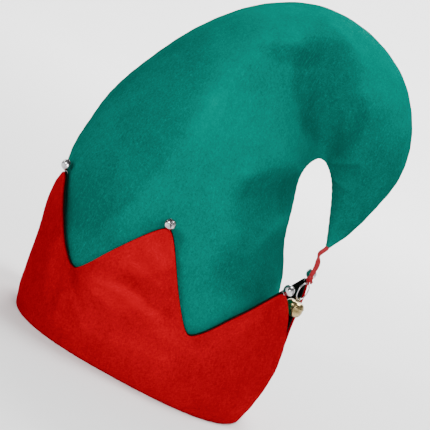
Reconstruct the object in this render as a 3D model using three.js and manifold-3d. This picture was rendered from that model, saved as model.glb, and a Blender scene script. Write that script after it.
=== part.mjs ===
// Elf hat of green and red felt, standing on its rim, with a bell hanging from its drooping tip.
// Millimetres, +Z up, +X to the side where the tip droops, -Y the front, origin at the rim's centre.
import * as THREE from 'three';
import { ParametricGeometry } from 'three/addons/geometries/ParametricGeometry.js';
import { mergeVertices } from 'three/addons/utils/BufferGeometryUtils.js';
import Module from 'manifold-3d';

const wasm = await Module();
wasm.setup();

// Driving dimensions of the felt
const rimLength = 209;
const rimDepth = 176;
const hatHeight = 330;
const feltWall = 1.8;
const liningWall = 1;
const pointHeight = 127;
const notchHeight = 59;
const pointRounding = 4.4;
const hemHeight = 12;
const hemBevel = 0.9;
const clearance = 0.3;

// How square the rim's oval is: 2 is an ellipse, more fills out its corners.
const rimSquareness = 2.5;

// Driving dimensions of the small bells on the points
const bellDiameter = 9.4;
const bellWall = 0.5;
const bellSlot = 1.2;
const bellSlotLength = 7.5;
const bellSlotStart = 1.6;
const bellShank = 2.6;
const bellShankWire = 0.8;
const bellShankShow = 1;
const pelletDiameter = 2.4;

// Driving dimensions of the drop
const ribbonWidth = 4.5;
const ribbonThickness = 2;
const ribbonDrop = 35;
const knotWidth = 6;
const knotDepth = 4.8;
const knotHeight = 5;
const loopWire = 0.9;
const ringDiameter = 16.4;
const ringWire = 1.1;
const ringTurn = 57;
const dropBellDiameter = 16.6;
const dropBellHeight = 13.4;
const dropBellWall = 0.7;
const dropBellSlot = 1.8;
const dropBellSlotLength = 12;
const dropBellSlotHeight = 4;
const eyeWire = 0.9;
const dropPelletDiameter = 4;

// How finely the curved forms are divided
const crownSides = 36;
const crownRings = 20;
const halfPointSteps = [0, 0.08, 0.3, 0.52, 0.74, 0.93];
const bandHeights = [0, 0.19, 0.38];
const pointRows = [0.35, 0.7, 1];

const halfLength = rimLength / 2;
const halfDepth = rimDepth / 2;

// How the cuff leans and flares: heights are shares of pointHeight, lengths of halfLength or halfDepth.
const cuffFlare = [
  { height: 0.0, centre: -0.014, length: 1.0, depth: 1.0 },
  { height: 0.18, centre: -0.016, length: 1.041, depth: 1.03 },
  { height: 0.38, centre: -0.023, length: 1.064, depth: 1.048 },
  { height: 0.7, centre: -0.083, length: 1.069, depth: 1.055 },
  { height: 1.0, centre: -0.115, length: 1.061, depth: 1.05 },
];

// The six points, clockwise seen from above, each with the notch that follows it. Angles and bellTilt,
// the bell's outward tilt, are degrees, heights shares of pointHeight and notchHeight, and the outward
// lean a share of halfLength.
const cuffPoints = [
  { angle: 153, tip: 0.928, lean: 0.018, notchAngle: 125.5, notch: 1.03, bellTilt: 20 },
  { angle: 94.6, tip: 0.985, lean: 0.015, notchAngle: 72, notch: 1.0, bellTilt: 45 },
  { angle: 40, tip: 0.935, lean: 0.03, notchAngle: 3, notch: 1.0, bellTilt: 40 },
  { angle: -23, tip: 0.96, lean: 0.06, notchAngle: -60, notch: 0.98, bellTilt: 12 },
  { angle: -86, tip: 0.95, lean: 0.03, notchAngle: -113, notch: 0.99, bellTilt: 35 },
  { angle: -140, tip: 0.93, lean: 0.04, notchAngle: -171, notch: 0.98, bellTilt: 25 },
];

// The crown inside the cuff: how far it stands off the lining, in shares of halfLength.
const crownFoot = [
  { height: 0.0, left: 0.0, right: 0.0, front: 0.0 },
  { height: 0.2, left: 0.0, right: 0.0, front: 0.0 },
  { height: 0.4, left: 0.004, right: 0.02, front: 0.006 },
  { height: 0.56, left: 0.007, right: 0.07, front: 0.012 },
  { height: 0.72, left: 0.008, right: 0.128, front: 0.02 },
];

// The free crown from above the cuff to the tip. outX and inX are shares of halfLength, outZ and inZ of
// hatHeight, depth of halfDepth. belly is where across the section it is deepest, pinch how sharp its
// two edges are, square how square its oval is.
const crownSections = [
  { outX: -1.184, outZ: 0.4, inX: 0.74, inZ: 0.368, depth: 0.975, belly: 0.5, pinch: 1.0, square: 2.3 },
  { outX: -1.166, outZ: 0.48, inX: 0.622, inZ: 0.446, depth: 0.93, belly: 0.5, pinch: 1.0, square: 2.15 },
  { outX: -1.117, outZ: 0.576, inX: 0.55, inZ: 0.53, depth: 0.85, belly: 0.49, pinch: 1.02, square: 2 },
  { outX: -0.972, outZ: 0.69, inX: 0.488, inZ: 0.602, depth: 0.76, belly: 0.47, pinch: 1.05, square: 2 },
  { outX: -0.747, outZ: 0.817, inX: 0.492, inZ: 0.637, depth: 0.69, belly: 0.42, pinch: 1.06, square: 1.95 },
  { outX: -0.43, outZ: 0.928, inX: 0.519, inZ: 0.656, depth: 0.62, belly: 0.29, pinch: 1.0, square: 1.6 },
  { outX: -0.03, outZ: 0.996, inX: 0.555, inZ: 0.666, depth: 0.5, belly: 0.2, pinch: 1.0, square: 1.25 },
  { outX: 0.405, outZ: 0.998, inX: 0.598, inZ: 0.666, depth: 0.41, belly: 0.2, pinch: 1.0, square: 1.25 },
  { outX: 0.818, outZ: 0.939, inX: 0.655, inZ: 0.656, depth: 0.345, belly: 0.34, pinch: 1.1, square: 1.8 },
  { outX: 1.082, outZ: 0.834, inX: 0.722, inZ: 0.632, depth: 0.28, belly: 0.46, pinch: 1.12, square: 2 },
  { outX: 1.17, outZ: 0.728, inX: 0.785, inZ: 0.594, depth: 0.2, belly: 0.5, pinch: 1.1, square: 2 },
  { outX: 1.118, outZ: 0.62, inX: 0.852, inZ: 0.544, depth: 0.135, belly: 0.5, pinch: 1.05, square: 2 },
  { outX: 1.034, outZ: 0.533, inX: 0.902, inZ: 0.504, depth: 0.075, belly: 0.5, pinch: 1.0, square: 2 },
  { outX: 0.963, outZ: 0.486, inX: 0.922, inZ: 0.486, depth: 0.032, belly: 0.5, pinch: 1.0, square: 2 },
];

// Dents and ridges of the free crown. along runs from the cuff to the tip, across from the outer edge to
// the inner one, lift is outward and a share of halfDepth. The back has them at backShare of their depth.
const crownFolds = [
  { along: 0.4, across: 0.5, run: 0.04, spread: 0.3, lift: 0.03 },
  { along: 0.655, across: 0.55, run: 0.03, spread: 0.35, lift: 0.03 },
  { along: 0.2, across: 0.84, run: 0.055, spread: 0.17, lift: -0.06 },
  { along: 0.285, across: 0.78, run: 0.035, spread: 0.25, lift: 0.03 },
  { along: 0.16, across: 0.14, run: 0.08, spread: 0.13, lift: -0.05 },
  { along: 0.25, across: 0.4, run: 0.08, spread: 0.16, lift: 0.03 },
  { along: 0.75, across: 0.6, run: 0.04, spread: 0.2, lift: -0.025 },
];
const backShare = 0.8;

// Half profiles of the drop bell: radius and height are shares of its half diameter and its height,
// from its flat top down over the crimped seam to the round bottom.
const dropBellProfile = [
  { radius: 0.0, height: 1.0 },
  { radius: 0.6, height: 0.97 },
  { radius: 0.88, height: 0.86 },
  { radius: 0.97, height: 0.72 },
  { radius: 1.0, height: 0.64 },
  { radius: 0.99, height: 0.55 },
  { radius: 0.97, height: 0.36 },
  { radius: 0.84, height: 0.17 },
  { radius: 0.5, height: 0.04 },
  { radius: 0.0, height: 0.0 },
];

const radians = THREE.MathUtils.degToRad;

// Value of one column of a table at a place, smooth between its rows.
function smoothColumn(rows, key, column, place) {
  const last = rows.length - 1;
  let index = rows.findIndex((row) => row[key] > place) - 1;
  if (index < 0) {
    index = place <= rows[0][key] ? 0 : last - 1;
  }
  const before = rows[Math.max(index - 1, 0)];
  const from = rows[index];
  const to = rows[index + 1];
  const after = rows[Math.min(index + 2, last)];
  const span = to[key] - from[key];
  const share = THREE.MathUtils.clamp((place - from[key]) / span, 0, 1);
  const slopeFrom = ((to[column] - before[column]) / (to[key] - before[key])) * span;
  const slopeTo = ((after[column] - from[column]) / (after[key] - from[key])) * span;
  const square = share * share;
  const cube = square * share;
  return (
    (2 * cube - 3 * square + 1) * from[column] +
    (cube - 2 * square + share) * slopeFrom +
    (3 * square - 2 * cube) * to[column] +
    (cube - square) * slopeTo
  );
}

// How far the middle of a flat facet lies inside the curve, on the crown and on the cuff's widest column.
const flattestReach = 1.25;
const facetSag = (facetDegrees) => halfLength * flattestReach * (1 - Math.cos(radians(facetDegrees / 2)));
const crownSag = facetSag(360 / crownSides);
const columnSpare = 1.3;
const widestSwing = Math.max(...cuffPoints.map((point) => Math.abs(point.angle - point.notchAngle)));
const widestStep = Math.max(...halfPointSteps.map((step, index) => (halfPointSteps[index + 1] ?? 1) - step));
const columnSag = facetSag(widestSwing * widestStep * columnSpare);

// Insets of the layers at the rim, measured inward from the cuff's outer face.
const liningInset = feltWall + clearance;
const crownInset = liningInset + liningWall + columnSag + clearance;
const crownInnerInset = crownInset + feltWall;
const legInset = crownInnerInset + crownSag + clearance;
const legInnerInset = legInset + feltWall;
const floorHeight = feltWall + clearance;

// Centre, half length and half depth of the cuff's outer face at a height.
function cuffOval(z) {
  const share = z / pointHeight;
  return {
    centre: halfLength * smoothColumn(cuffFlare, 'height', 'centre', share),
    length: halfLength * smoothColumn(cuffFlare, 'height', 'length', share),
    depth: halfDepth * smoothColumn(cuffFlare, 'height', 'depth', share),
  };
}

// How far an oval of a given squareness reaches past an ellipse, in the direction of an angle in radians.
function ovalReach(turn, square) {
  return (Math.abs(Math.cos(turn)) ** square + Math.abs(Math.sin(turn)) ** square) ** (-1 / square);
}

// Point of a layer of the cuff, at an angle in degrees, a height, an inset and an outward lean.
function cuffPlace(angle, z, inset, lean) {
  const oval = cuffOval(z);
  const turn = radians(angle);
  const reach = ovalReach(turn, rimSquareness);
  return new THREE.Vector3(
    oval.centre + (oval.length - inset + lean) * reach * Math.cos(turn),
    -(oval.depth - inset + lean) * reach * Math.sin(turn),
    z,
  );
}

// The columns of the cuff: each has its angle, its top height and the lean of the point it lies in.
function cuffColumns() {
  const columns = [];
  cuffPoints.forEach((point, index) => {
    const before = cuffPoints[(index + cuffPoints.length - 1) % cuffPoints.length];
    const tip = point.tip * pointHeight;
    const sides = [
      { angle: before.notchAngle, notch: before.notch * notchHeight, rising: true },
      { angle: point.notchAngle, notch: point.notch * notchHeight, rising: false },
    ];
    for (const side of sides) {
      const swing = Math.abs(THREE.MathUtils.euclideanModulo(side.angle - point.angle + 180, 360) - 180);
      const width = radians(swing) * Math.sqrt(halfLength * halfDepth);
      const height = tip - side.notch;
      for (const step of halfPointSteps) {
        const share = side.rising ? step : 1 - step;
        const rounded = roundedRise(share, pointRounding / width);
        const sign = side.rising ? 1 : -1;
        columns.push({
          angle: point.angle + sign * swing * (1 - share),
          top: side.notch + height * rounded,
          lean: point.lean * halfLength,
          order: index * 2 + (side.rising ? share : 2 - share),
        });
      }
    }
  });
  return columns.sort((first, second) => first.order - second.order);
}

// A straight rise from 0 to 1 whose two ends are rounded over a radius given as a share.
function roundedRise(share, radius) {
  const dip = Math.sqrt(share * share + radius * radius) - radius;
  const cap = Math.sqrt((1 - share) ** 2 + radius * radius) - radius;
  const full = Math.sqrt(1 + radius * radius) - radius;
  const low = dip / full;
  const high = 1 - cap / full;
  return low + (high - low) * THREE.MathUtils.smoothstep(share, 0, 1);
}

// How much of its lean a point has at a height.
const leanPower = 1.4;
function leanShare(z) {
  const share = THREE.MathUtils.clamp((z - notchHeight) / (pointHeight - notchHeight), 0, 1);
  return share ** leanPower;
}

// A closed form from a parametric net: doubles merged, empty triangles dropped, faces turned outward.
function closedForm(geometry) {
  geometry.deleteAttribute('normal');
  geometry.deleteAttribute('uv');
  const merged = mergeVertices(geometry, 1e-4);
  const kept = [];
  let volume = 0;
  const corner = [new THREE.Vector3(), new THREE.Vector3(), new THREE.Vector3()];
  for (let start = 0; start < merged.index.count; start += 3) {
    const trio = [0, 1, 2].map((offset) => merged.index.getX(start + offset));
    if (new Set(trio).size === 3) {
      trio.forEach((vertex, place) => corner[place].fromBufferAttribute(merged.attributes.position, vertex));
      volume += corner[0].dot(corner[1].clone().cross(corner[2]));
      kept.push(trio);
    }
  }
  if (volume < 0) {
    kept.forEach((trio) => trio.reverse());
  }
  merged.setIndex(kept.flat());
  return merged;
}

// A net of rings of points, each ring a list of the same length, with a point at each end if given.
function netOfRings(rings, closedEndToEnd) {
  const sides = rings[0].length;
  const stacks = closedEndToEnd ? rings.length : rings.length - 1;
  const net = new ParametricGeometry(
    (u, v, target) => {
      const ring = rings[Math.round(v * stacks) % rings.length];
      target.copy(ring[Math.round(u * sides) % sides]);
    },
    sides,
    stacks,
  );
  return closedForm(net);
}

function toSolid(geometry) {
  const form = geometry.index && !geometry.attributes.uv ? geometry : closedForm(geometry);
  return new wasm.Manifold(
    new wasm.Mesh({
      numProp: 3,
      vertProperties: new Float32Array(form.attributes.position.array),
      triVerts: new Uint32Array(form.index.array),
    }),
  );
}

function fromSolid(solid) {
  const mesh = solid.getMesh();
  const geometry = new THREE.BufferGeometry();
  geometry.setAttribute('position', new THREE.BufferAttribute(mesh.vertProperties, 3));
  geometry.setIndex(new THREE.BufferAttribute(mesh.triVerts, 1));
  return geometry;
}

function namedMesh(name, geometry, colour, roughness, metalness) {
  const material = new THREE.MeshStandardMaterial({ color: colour, roughness, metalness });
  const mesh = new THREE.Mesh(geometry, material);
  mesh.name = name;
  return mesh;
}

// The heights of the rows that the cuff, its lining and the crown's foot share, so that they nest.
const bandRows = bandHeights.map((share) => floorHeight + (pointHeight - floorHeight) * share);
const bandTop = bandRows[bandRows.length - 1];
function rowHeights(column) {
  return [...bandRows, ...pointRows.map((row) => bandTop + (column.top - bandTop) * row)];
}

// The rings of one face of the cuff or its lining, from the band's floor up to the cut edge.
function faceRings(columns, inset) {
  return rowHeights(columns[0]).map((_, row) => columns.map((column) => {
    const z = rowHeights(column)[row];
    return cuffPlace(column.angle, z, inset, column.lean * leanShare(z));
  }));
}

// The red cuff: a band cut into points outside, folded under the rim and turned up inside as a hem.
function cuffGeometry() {
  const columns = cuffColumns();
  const levelRing = (inset, z) => columns.map((column) => cuffPlace(column.angle, z, inset, 0));
  return netOfRings([
    levelRing(hemBevel, 0),
    levelRing(0, hemBevel),
    ...faceRings(columns, 0),
    ...faceRings(columns, feltWall).reverse(),
    levelRing(feltWall, feltWall),
    levelRing(legInset, feltWall),
    levelRing(legInset, hemHeight),
    levelRing(legInnerInset, hemHeight),
    levelRing(legInnerInset, hemBevel),
    levelRing(legInnerInset - hemBevel, 0),
  ], true);
}

// The dark lining behind the cuff, cut flush with the cuff's edge.
function liningGeometry() {
  const columns = cuffColumns();
  return netOfRings([
    ...faceRings(columns, liningInset).reverse(),
    ...faceRings(columns, liningInset + liningWall),
  ], true);
}

// One section of the crown inside the cuff, level at its height, as an outer and an inner end and a depth.
function footSection(share, extraInset) {
  const z = floorHeight + (pointHeight - floorHeight) * share;
  const oval = cuffOval(z);
  const standOff = (side) => halfLength * Math.max(smoothColumn(crownFoot, 'height', side, share), 0);
  const inset = crownInset + extraInset;
  const outX = oval.centre - oval.length + inset + standOff('left');
  const inX = oval.centre + oval.length - inset - standOff('right');
  return {
    out: new THREE.Vector3(outX, 0, z),
    in: new THREE.Vector3(inX, 0, z),
    depth: oval.depth - inset - standOff('front'),
    belly: (oval.centre - outX) / (inX - outX),
    pinch: 1,
    square: rimSquareness,
  };
}

// The free crown's two edges and its other columns, through the top of the foot and the table's rows.
const footTop = crownFoot[crownFoot.length - 1].height;
const freeRows = [
  ...[0.86, 1].map((share) => footSection(footTop * share, 0)),
  ...crownSections.map((row) => ({
    out: new THREE.Vector3(row.outX * halfLength, 0, row.outZ * hatHeight),
    in: new THREE.Vector3(row.inX * halfLength, 0, row.inZ * hatHeight),
    depth: row.depth * halfDepth,
    belly: row.belly,
    pinch: row.pinch,
    square: row.square,
  })),
].map((row, place) => ({ ...row, place }));
const outEdge = new THREE.CatmullRomCurve3(freeRows.map((row) => row.out));
const inEdge = new THREE.CatmullRomCurve3(freeRows.map((row) => row.in));

// One section of the free crown, along from 0 at the top of the foot to 1 at the tip.
function freeSection(along, extraInset) {
  const place = 1 + along * (freeRows.length - 2);
  const share = place / (freeRows.length - 1);
  const out = outEdge.getPoint(share);
  const into = inEdge.getPoint(share);
  const across = into.clone().sub(out).setLength(extraInset);
  return {
    out: out.add(across),
    in: into.sub(across),
    depth: smoothColumn(freeRows, 'place', 'depth', place) - extraInset,
    belly: smoothColumn(freeRows, 'place', 'belly', place),
    pinch: smoothColumn(freeRows, 'place', 'pinch', place),
    square: smoothColumn(freeRows, 'place', 'square', place),
    along,
  };
}

// Outward lift of the dents and ridges at a place of the free crown.
function foldLift(along, across) {
  return crownFolds.reduce((sum, fold) => {
    const down = (along - fold.along) / fold.run;
    const over = (across - fold.across) / fold.spread;
    return sum + fold.lift * halfDepth * Math.exp(-down * down - over * over);
  }, 0);
}

// The ring of points round one section of the crown.
function sectionRing(section) {
  const ring = [];
  for (let side = 0; side < crownSides; side += 1) {
    const turn = (side / crownSides) * 2 * Math.PI;
    const oval = ovalReach(turn, section.square);
    const reach = Math.cos(turn) > 0 ? section.belly : 1 - section.belly;
    const across = section.belly - reach * oval * Math.cos(turn);
    const point = section.out.clone().lerp(section.in, across);
    const bulge = oval * Math.abs(Math.sin(turn)) ** section.pinch;
    const front = Math.sin(turn) > 0;
    const lift = section.along === undefined ? 0 : foldLift(section.along, across) * bulge;
    const depth = section.depth * bulge + lift * (front ? 1 : backShare);
    point.y = front ? -depth : depth;
    ring.push(point);
  }
  return ring;
}

// The green crown: one wall of felt, open at the rim, closed and sewn solid at the tip.
const hollowEnd = 0.925;
const footEndHeight = 0.56;
function crownGeometry() {
  const footShares = [...bandHeights, footEndHeight];
  const steps = Array.from({ length: crownRings + 1 }, (_, step) => step / crownRings);
  const innerSteps = steps.filter((step) => step < hollowEnd).concat(hollowEnd);
  const outer = [
    ...footShares.map((share) => footSection(share, 0)),
    ...steps.map((step) => freeSection(step, 0)),
  ].map(sectionRing);
  const inner = [
    ...footShares.map((share) => footSection(share, feltWall)),
    ...innerSteps.map((step) => freeSection(step, feltWall)),
  ].map(sectionRing);
  const middle = (ring) => {
    const sum = ring.reduce((total, point) => total.add(point), new THREE.Vector3());
    return ring.map(() => sum.clone().divideScalar(ring.length));
  };
  return netOfRings([middle(inner.at(-1)), ...inner.reverse(), ...outer, middle(outer.at(-1))], false);
}

// A small bell along +Z: its shank at the origin, a cross of slots in its far side.
const bellRadius = bellDiameter / 2;
const bellCentre = bellShankShow + bellRadius;
function smallBellGeometry() {
  const ball = new THREE.SphereGeometry(bellRadius, 10, 7).rotateX(Math.PI / 2).translate(0, 0, bellCentre);
  const hollow = new THREE.SphereGeometry(bellRadius - bellWall, 8, 4);
  hollow.rotateX(Math.PI / 2).translate(0, 0, bellCentre);
  const shankRadius = (bellShank - bellShankWire) / 2;
  const shank = new THREE.TorusGeometry(shankRadius, bellShankWire / 2, 4, 8);
  shank.rotateX(Math.PI / 2).translate(0, 0, bellShank / 2);
  let solid = toSolid(ball).add(toSolid(shank)).subtract(toSolid(hollow));
  [[bellSlotLength, bellSlot], [bellSlot, bellSlotLength]].forEach(([long, wide]) => {
    const slot = new THREE.BoxGeometry(long, wide, bellRadius);
    slot.translate(0, 0, bellCentre + bellSlotStart + bellRadius / 2);
    solid = solid.subtract(toSolid(slot));
  });
  return fromSolid(solid);
}

// The drop bell with the middle of its eye at the origin, hanging down -Z, its eye open along X.
const eyeRadius = ringWire / 2 + clearance + eyeWire / 2;
const eyeSunk = 0.4;
const dropBellTop = eyeSunk - eyeRadius - eyeWire / 2;
const dropBellSides = 14;
function dropBellOutline(inset) {
  const radius = dropBellDiameter / 2;
  return dropBellProfile.map((row) => new THREE.Vector2(
    Math.max(radius * row.radius - (row.radius > 0 ? inset : 0), 0),
    dropBellTop - dropBellHeight + inset + (dropBellHeight - 2 * inset) * row.height,
  ));
}
function dropBellGeometry() {
  const body = (inset) => new THREE.LatheGeometry(dropBellOutline(inset), dropBellSides).rotateX(Math.PI / 2);
  const eye = new THREE.TorusGeometry(eyeRadius, eyeWire / 2, 5, 10).rotateY(Math.PI / 2);
  let solid = toSolid(body(0)).add(toSolid(eye)).subtract(toSolid(body(dropBellWall)));
  const slot = new THREE.BoxGeometry(dropBellSlot, dropBellSlotLength, dropBellSlotHeight);
  slot.translate(0, 0, dropBellTop - dropBellHeight + dropBellSlotHeight / 2 - dropBellWall);
  solid = solid.subtract(toSolid(slot));
  return fromSolid(solid);
}

function pelletGeometry(diameter) {
  return closedForm(new THREE.SphereGeometry(diameter / 2, 6, 4).rotateX(Math.PI / 2));
}

// Where the drop hangs: the tip's lower end, the ribbon's knot, the ring and the bell below each other.
const tipRow = crownSections[crownSections.length - 1];
const tipX = ((tipRow.outX + tipRow.inX) / 2) * halfLength;
const tipZ = Math.min(tipRow.outZ, tipRow.inZ) * hatHeight;
const loopRadius = ringWire / 2 + clearance + loopWire;
const ringTopZ = tipZ - ribbonDrop;
const ringRadius = (ringDiameter - ringWire) / 2;
const ringCentreZ = ringTopZ - ringRadius;
const ringBottomZ = ringCentreZ - ringRadius;

// The ribbon's route from the tip to the knot, chosen by hand: sideways shift in millimetres and share
// of the way down.
const ribbonRoute = [
  { x: 0, y: 0, down: 0.0 },
  { x: -0.3, y: 0.0, down: 0.07 },
  { x: -1.3, y: -0.2, down: 0.14 },
  { x: -2.4, y: -0.4, down: 0.21 },
  { x: -2.9, y: -0.5, down: 0.28 },
  { x: -2.6, y: -0.4, down: 0.35 },
  { x: -1.7, y: -0.2, down: 0.42 },
  { x: -0.9, y: 0.0, down: 0.49 },
  { x: -0.4, y: 0.1, down: 0.56 },
  { x: -0.2, y: 0.1, down: 0.63 },
  { x: -0.2, y: 0.1, down: 0.7 },
  { x: -0.3, y: 0.0, down: 0.77 },
  { x: -0.3, y: 0.0, down: 0.84 },
  { x: -0.2, y: 0.0, down: 0.92 },
  { x: 0, y: 0, down: 1.0 },
];

// The doubled ribbon with its knot and the small loop that the ring hangs in, one solid.
function ribbonGeometry() {
  const knotZ = ringTopZ + loopRadius + knotHeight / 2;
  const start = tipZ - clearance;
  const path = new THREE.CatmullRomCurve3(ribbonRoute.map(
    (step) => new THREE.Vector3(tipX + step.x, step.y, start + (knotZ - start) * step.down),
  ));
  const section = new THREE.Shape();
  section.absellipse(0, 0, ribbonThickness / 2, ribbonWidth / 2, 0, 2 * Math.PI);
  const strip = new THREE.ExtrudeGeometry(section, {
    steps: 14,
    curveSegments: 4,
    bevelEnabled: false,
    extrudePath: path,
  });
  const knot = new THREE.SphereGeometry(1 / 2, 8, 6).scale(knotWidth, knotDepth, knotHeight);
  knot.translate(tipX, 0, knotZ);
  const loop = new THREE.TorusGeometry(loopRadius, loopWire, 6, 10).rotateY(Math.PI / 2);
  loop.rotateZ(radians(ringTurn)).translate(tipX, 0, ringTopZ);
  return fromSolid(toSolid(strip).add(toSolid(knot)).add(toSolid(loop)));
}

function ringGeometry() {
  const ring = new THREE.TorusGeometry(ringRadius, ringWire / 2, 6, 16).rotateX(Math.PI / 2);
  return closedForm(ring.rotateZ(radians(ringTurn)));
}

const green = 0x0b8779;
const red = 0xbb1214;
const darkLining = 0x14140f;
const silver = 0xc9c9c9;
const brass = 0xa49b78;
const ribbonRed = 0xb81c22;

const hat = new THREE.Group();
hat.add(namedMesh('crown', crownGeometry(), green, 0.95, 0));
hat.add(namedMesh('cuff', cuffGeometry(), red, 0.95, 0));
hat.add(namedMesh('cuff_lining', liningGeometry(), darkLining, 0.9, 0));

// Each bell sits just over the rounded end of its point, leaning outward, its pellet at its low side.
cuffPoints.forEach((point, index) => {
  const number = index + 1;
  const tip = point.tip * pointHeight;
  const seat = cuffPlace(point.angle, tip, feltWall / 2, point.lean * halfLength * leanShare(tip));
  const bell = new THREE.Group();
  bell.position.set(seat.x, seat.y, seat.z + clearance * 2);
  const outward = Math.atan2(seat.y, seat.x);
  bell.rotation.set(0, radians(point.bellTilt), outward, 'ZYX');
  bell.add(namedMesh(`cuff_bell_${number}`, smallBellGeometry(), silver, 0.25, 1));
  const pellet = namedMesh(`cuff_bell_pellet_${number}`, pelletGeometry(pelletDiameter), silver, 0.4, 1);
  pellet.position.z = bellCentre - bellRadius + bellWall + clearance + pelletDiameter / 2;
  bell.add(pellet);
  hat.add(bell);
});

const drop = new THREE.Group();
drop.position.set(tipX, 0, 0);
const ring = namedMesh('drop_ring', ringGeometry(), silver, 0.3, 1);
ring.position.z = ringCentreZ;
const hanging = new THREE.Group();
hanging.position.z = ringBottomZ;
hanging.rotation.z = radians(ringTurn);
const dropPellet = namedMesh('drop_bell_pellet', pelletGeometry(dropPelletDiameter), silver, 0.4, 1);
dropPellet.position.set(
  0,
  0,
  dropBellTop - dropBellHeight + dropBellWall + clearance + dropPelletDiameter / 2,
);
hanging.add(namedMesh('drop_bell', dropBellGeometry(), brass, 0.3, 1), dropPellet);
drop.add(ring, hanging);
hat.add(drop);
hat.add(namedMesh('ribbon', ribbonGeometry(), ribbonRed, 0.5, 0));

export default hat;
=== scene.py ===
"""The looks of a felt elf hat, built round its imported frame.

Metres, +Z up, +X to the side where the tip droops, -Y the front. The hat stands on its rim and the
origin is the rim's centre.
"""
import logging
import math
from collections.abc import Mapping, Sequence
from dataclasses import dataclass, field
from enum import Enum

import bpy
import numpy as np
from mathutils import Matrix, Vector, noise


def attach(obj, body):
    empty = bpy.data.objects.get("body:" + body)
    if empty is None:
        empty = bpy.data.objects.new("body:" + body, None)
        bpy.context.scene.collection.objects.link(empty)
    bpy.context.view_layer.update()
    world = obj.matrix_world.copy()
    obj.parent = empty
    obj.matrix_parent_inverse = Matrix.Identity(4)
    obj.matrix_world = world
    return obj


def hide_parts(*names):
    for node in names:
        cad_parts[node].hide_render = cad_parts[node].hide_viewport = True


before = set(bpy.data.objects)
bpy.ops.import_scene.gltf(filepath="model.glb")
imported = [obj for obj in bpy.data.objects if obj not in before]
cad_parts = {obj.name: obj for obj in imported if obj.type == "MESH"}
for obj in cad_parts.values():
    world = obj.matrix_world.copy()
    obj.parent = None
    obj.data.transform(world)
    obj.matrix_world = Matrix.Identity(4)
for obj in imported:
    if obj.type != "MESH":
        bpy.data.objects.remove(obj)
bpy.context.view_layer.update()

log = logging.getLogger("elf_hat")

Colour = tuple[float, float, float]


class Body(Enum):
    """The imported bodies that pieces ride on."""

    HAT = "hat"
    DROP = "drop"


class Slot(Enum):
    """The record's material slots."""

    GREEN_FELT = "green_felt"
    RED_FELT = "red_felt"
    DARK_FELT = "dark_felt"
    SILVER_BELL = "silver_bell"
    STEEL_PELLET = "steel_pellet"
    RED_RIBBON = "red_ribbon"
    STEEL_RING = "steel_ring"
    BRASS_BELL = "brass_bell"


# Tables of the hat's form


@dataclass(frozen=True)
class FlareRow:
    """How the cuff stands at a height, a share of the point height; the rest are shares of half sizes."""

    height: float
    centre: float
    length: float
    depth: float


@dataclass(frozen=True)
class PointRow:
    """One point of the cuff and the notch after it: angles in degrees, heights and lean as shares."""

    angle: float
    tip: float
    lean: float
    notch_angle: float
    notch: float
    bell_tilt: float
    bell_turn: float


@dataclass(frozen=True)
class FootRow:
    """How far the crown stands off the lining at a height, in shares of the half length."""

    height: float
    left: float
    right: float
    front: float


@dataclass(frozen=True)
class SectionRow:
    """One section of the free crown: its outer and inner edge, depth and the shape of its oval."""

    out_x: float
    out_z: float
    in_x: float
    in_z: float
    depth: float
    belly: float
    pinch: float
    square: float


@dataclass(frozen=True)
class FoldRow:
    """A dent or ridge of the free crown; lift is outward, a share of the half depth."""

    along: float
    across: float
    run: float
    spread: float
    lift: float


class Side(Enum):
    """The side of the hat that a crease is on."""

    FRONT = -1
    BACK = 1


@dataclass(frozen=True)
class Crease:
    """A soft crease: a line between two places seen from the front, its half width and its lift."""

    side: Side
    start: tuple[float, float]
    end: tuple[float, float]
    width: float
    lift: float

    def relief(self, points: np.ndarray) -> np.ndarray:
        """How far the crease lifts each of an array of points.

        Args:
            points: Places, with three coordinates last.

        Returns:
            Lifts in metres.
        """
        first, last = np.array(self.start), np.array(self.end)
        run = last - first
        off = points[..., [0, 2]] - first
        share = np.clip(off @ run / (run @ run), 0, 1)
        away = np.linalg.norm(off - share[..., None] * run, axis=-1) / self.width
        near = smooth_step(0.0, 0.012, self.side.value * points[..., 1])
        return self.lift * np.exp(-(away ** 1.5)) * near


@dataclass(frozen=True)
class PaintedShadePatch:
    """A soft patch of painted shade where its tone is below 0 and painted highlight where it is above:
    middle, reach and turn seen from the front, and tone.
    """

    middle: tuple[float, float]
    reach: tuple[float, float]
    turn: float
    edge: float
    tone: float

    def shade(self, points: np.ndarray) -> np.ndarray:
        """How much the patch's painted shade darkens, or its painted highlight lightens, each of an array of
        points.

        Args:
            points: Places, with three coordinates last.

        Returns:
            Tones, below 0 where shade is painted and above 0 where highlight is painted.
        """
        turn = math.radians(self.turn)
        off = points[..., [0, 2]] - np.array(self.middle)
        along = (off[..., 0] * math.cos(turn) + off[..., 1] * math.sin(turn)) / self.reach[0]
        across = (off[..., 1] * math.cos(turn) - off[..., 0] * math.sin(turn)) / self.reach[1]
        ragged = wander(points, 0.02, self.turn) * 0.12
        return self.tone * (1 - smooth_step(1 - self.edge, 1 + self.edge, np.hypot(along, across) + ragged))


@dataclass(frozen=True)
class Roll:
    """A slow rolling of the felt: the width of its bumps, its seed and its lift."""

    size: float
    seed: float
    lift: float


SEAM_ANGLE = 0.09
NOISE_LAYERS = 2
NOISE_GAIN = 0.9
NOISE_STEP = 2.1
CUFF_ROLLS = (Roll(0.034, 3.7, 0.0009), Roll(0.012, 8.1, 0.0003))
CROWN_ROLLS = (Roll(0.055, 1.3, 0.0007), Roll(0.016, 5.9, 0.00016))

CUFF_FLARE = (
    FlareRow(0.0, -0.014, 1.0, 1.0),
    FlareRow(0.18, -0.016, 1.041, 1.03),
    FlareRow(0.38, -0.023, 1.064, 1.048),
    FlareRow(0.7, -0.083, 1.069, 1.055),
    FlareRow(1.0, -0.115, 1.061, 1.05),
)

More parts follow.
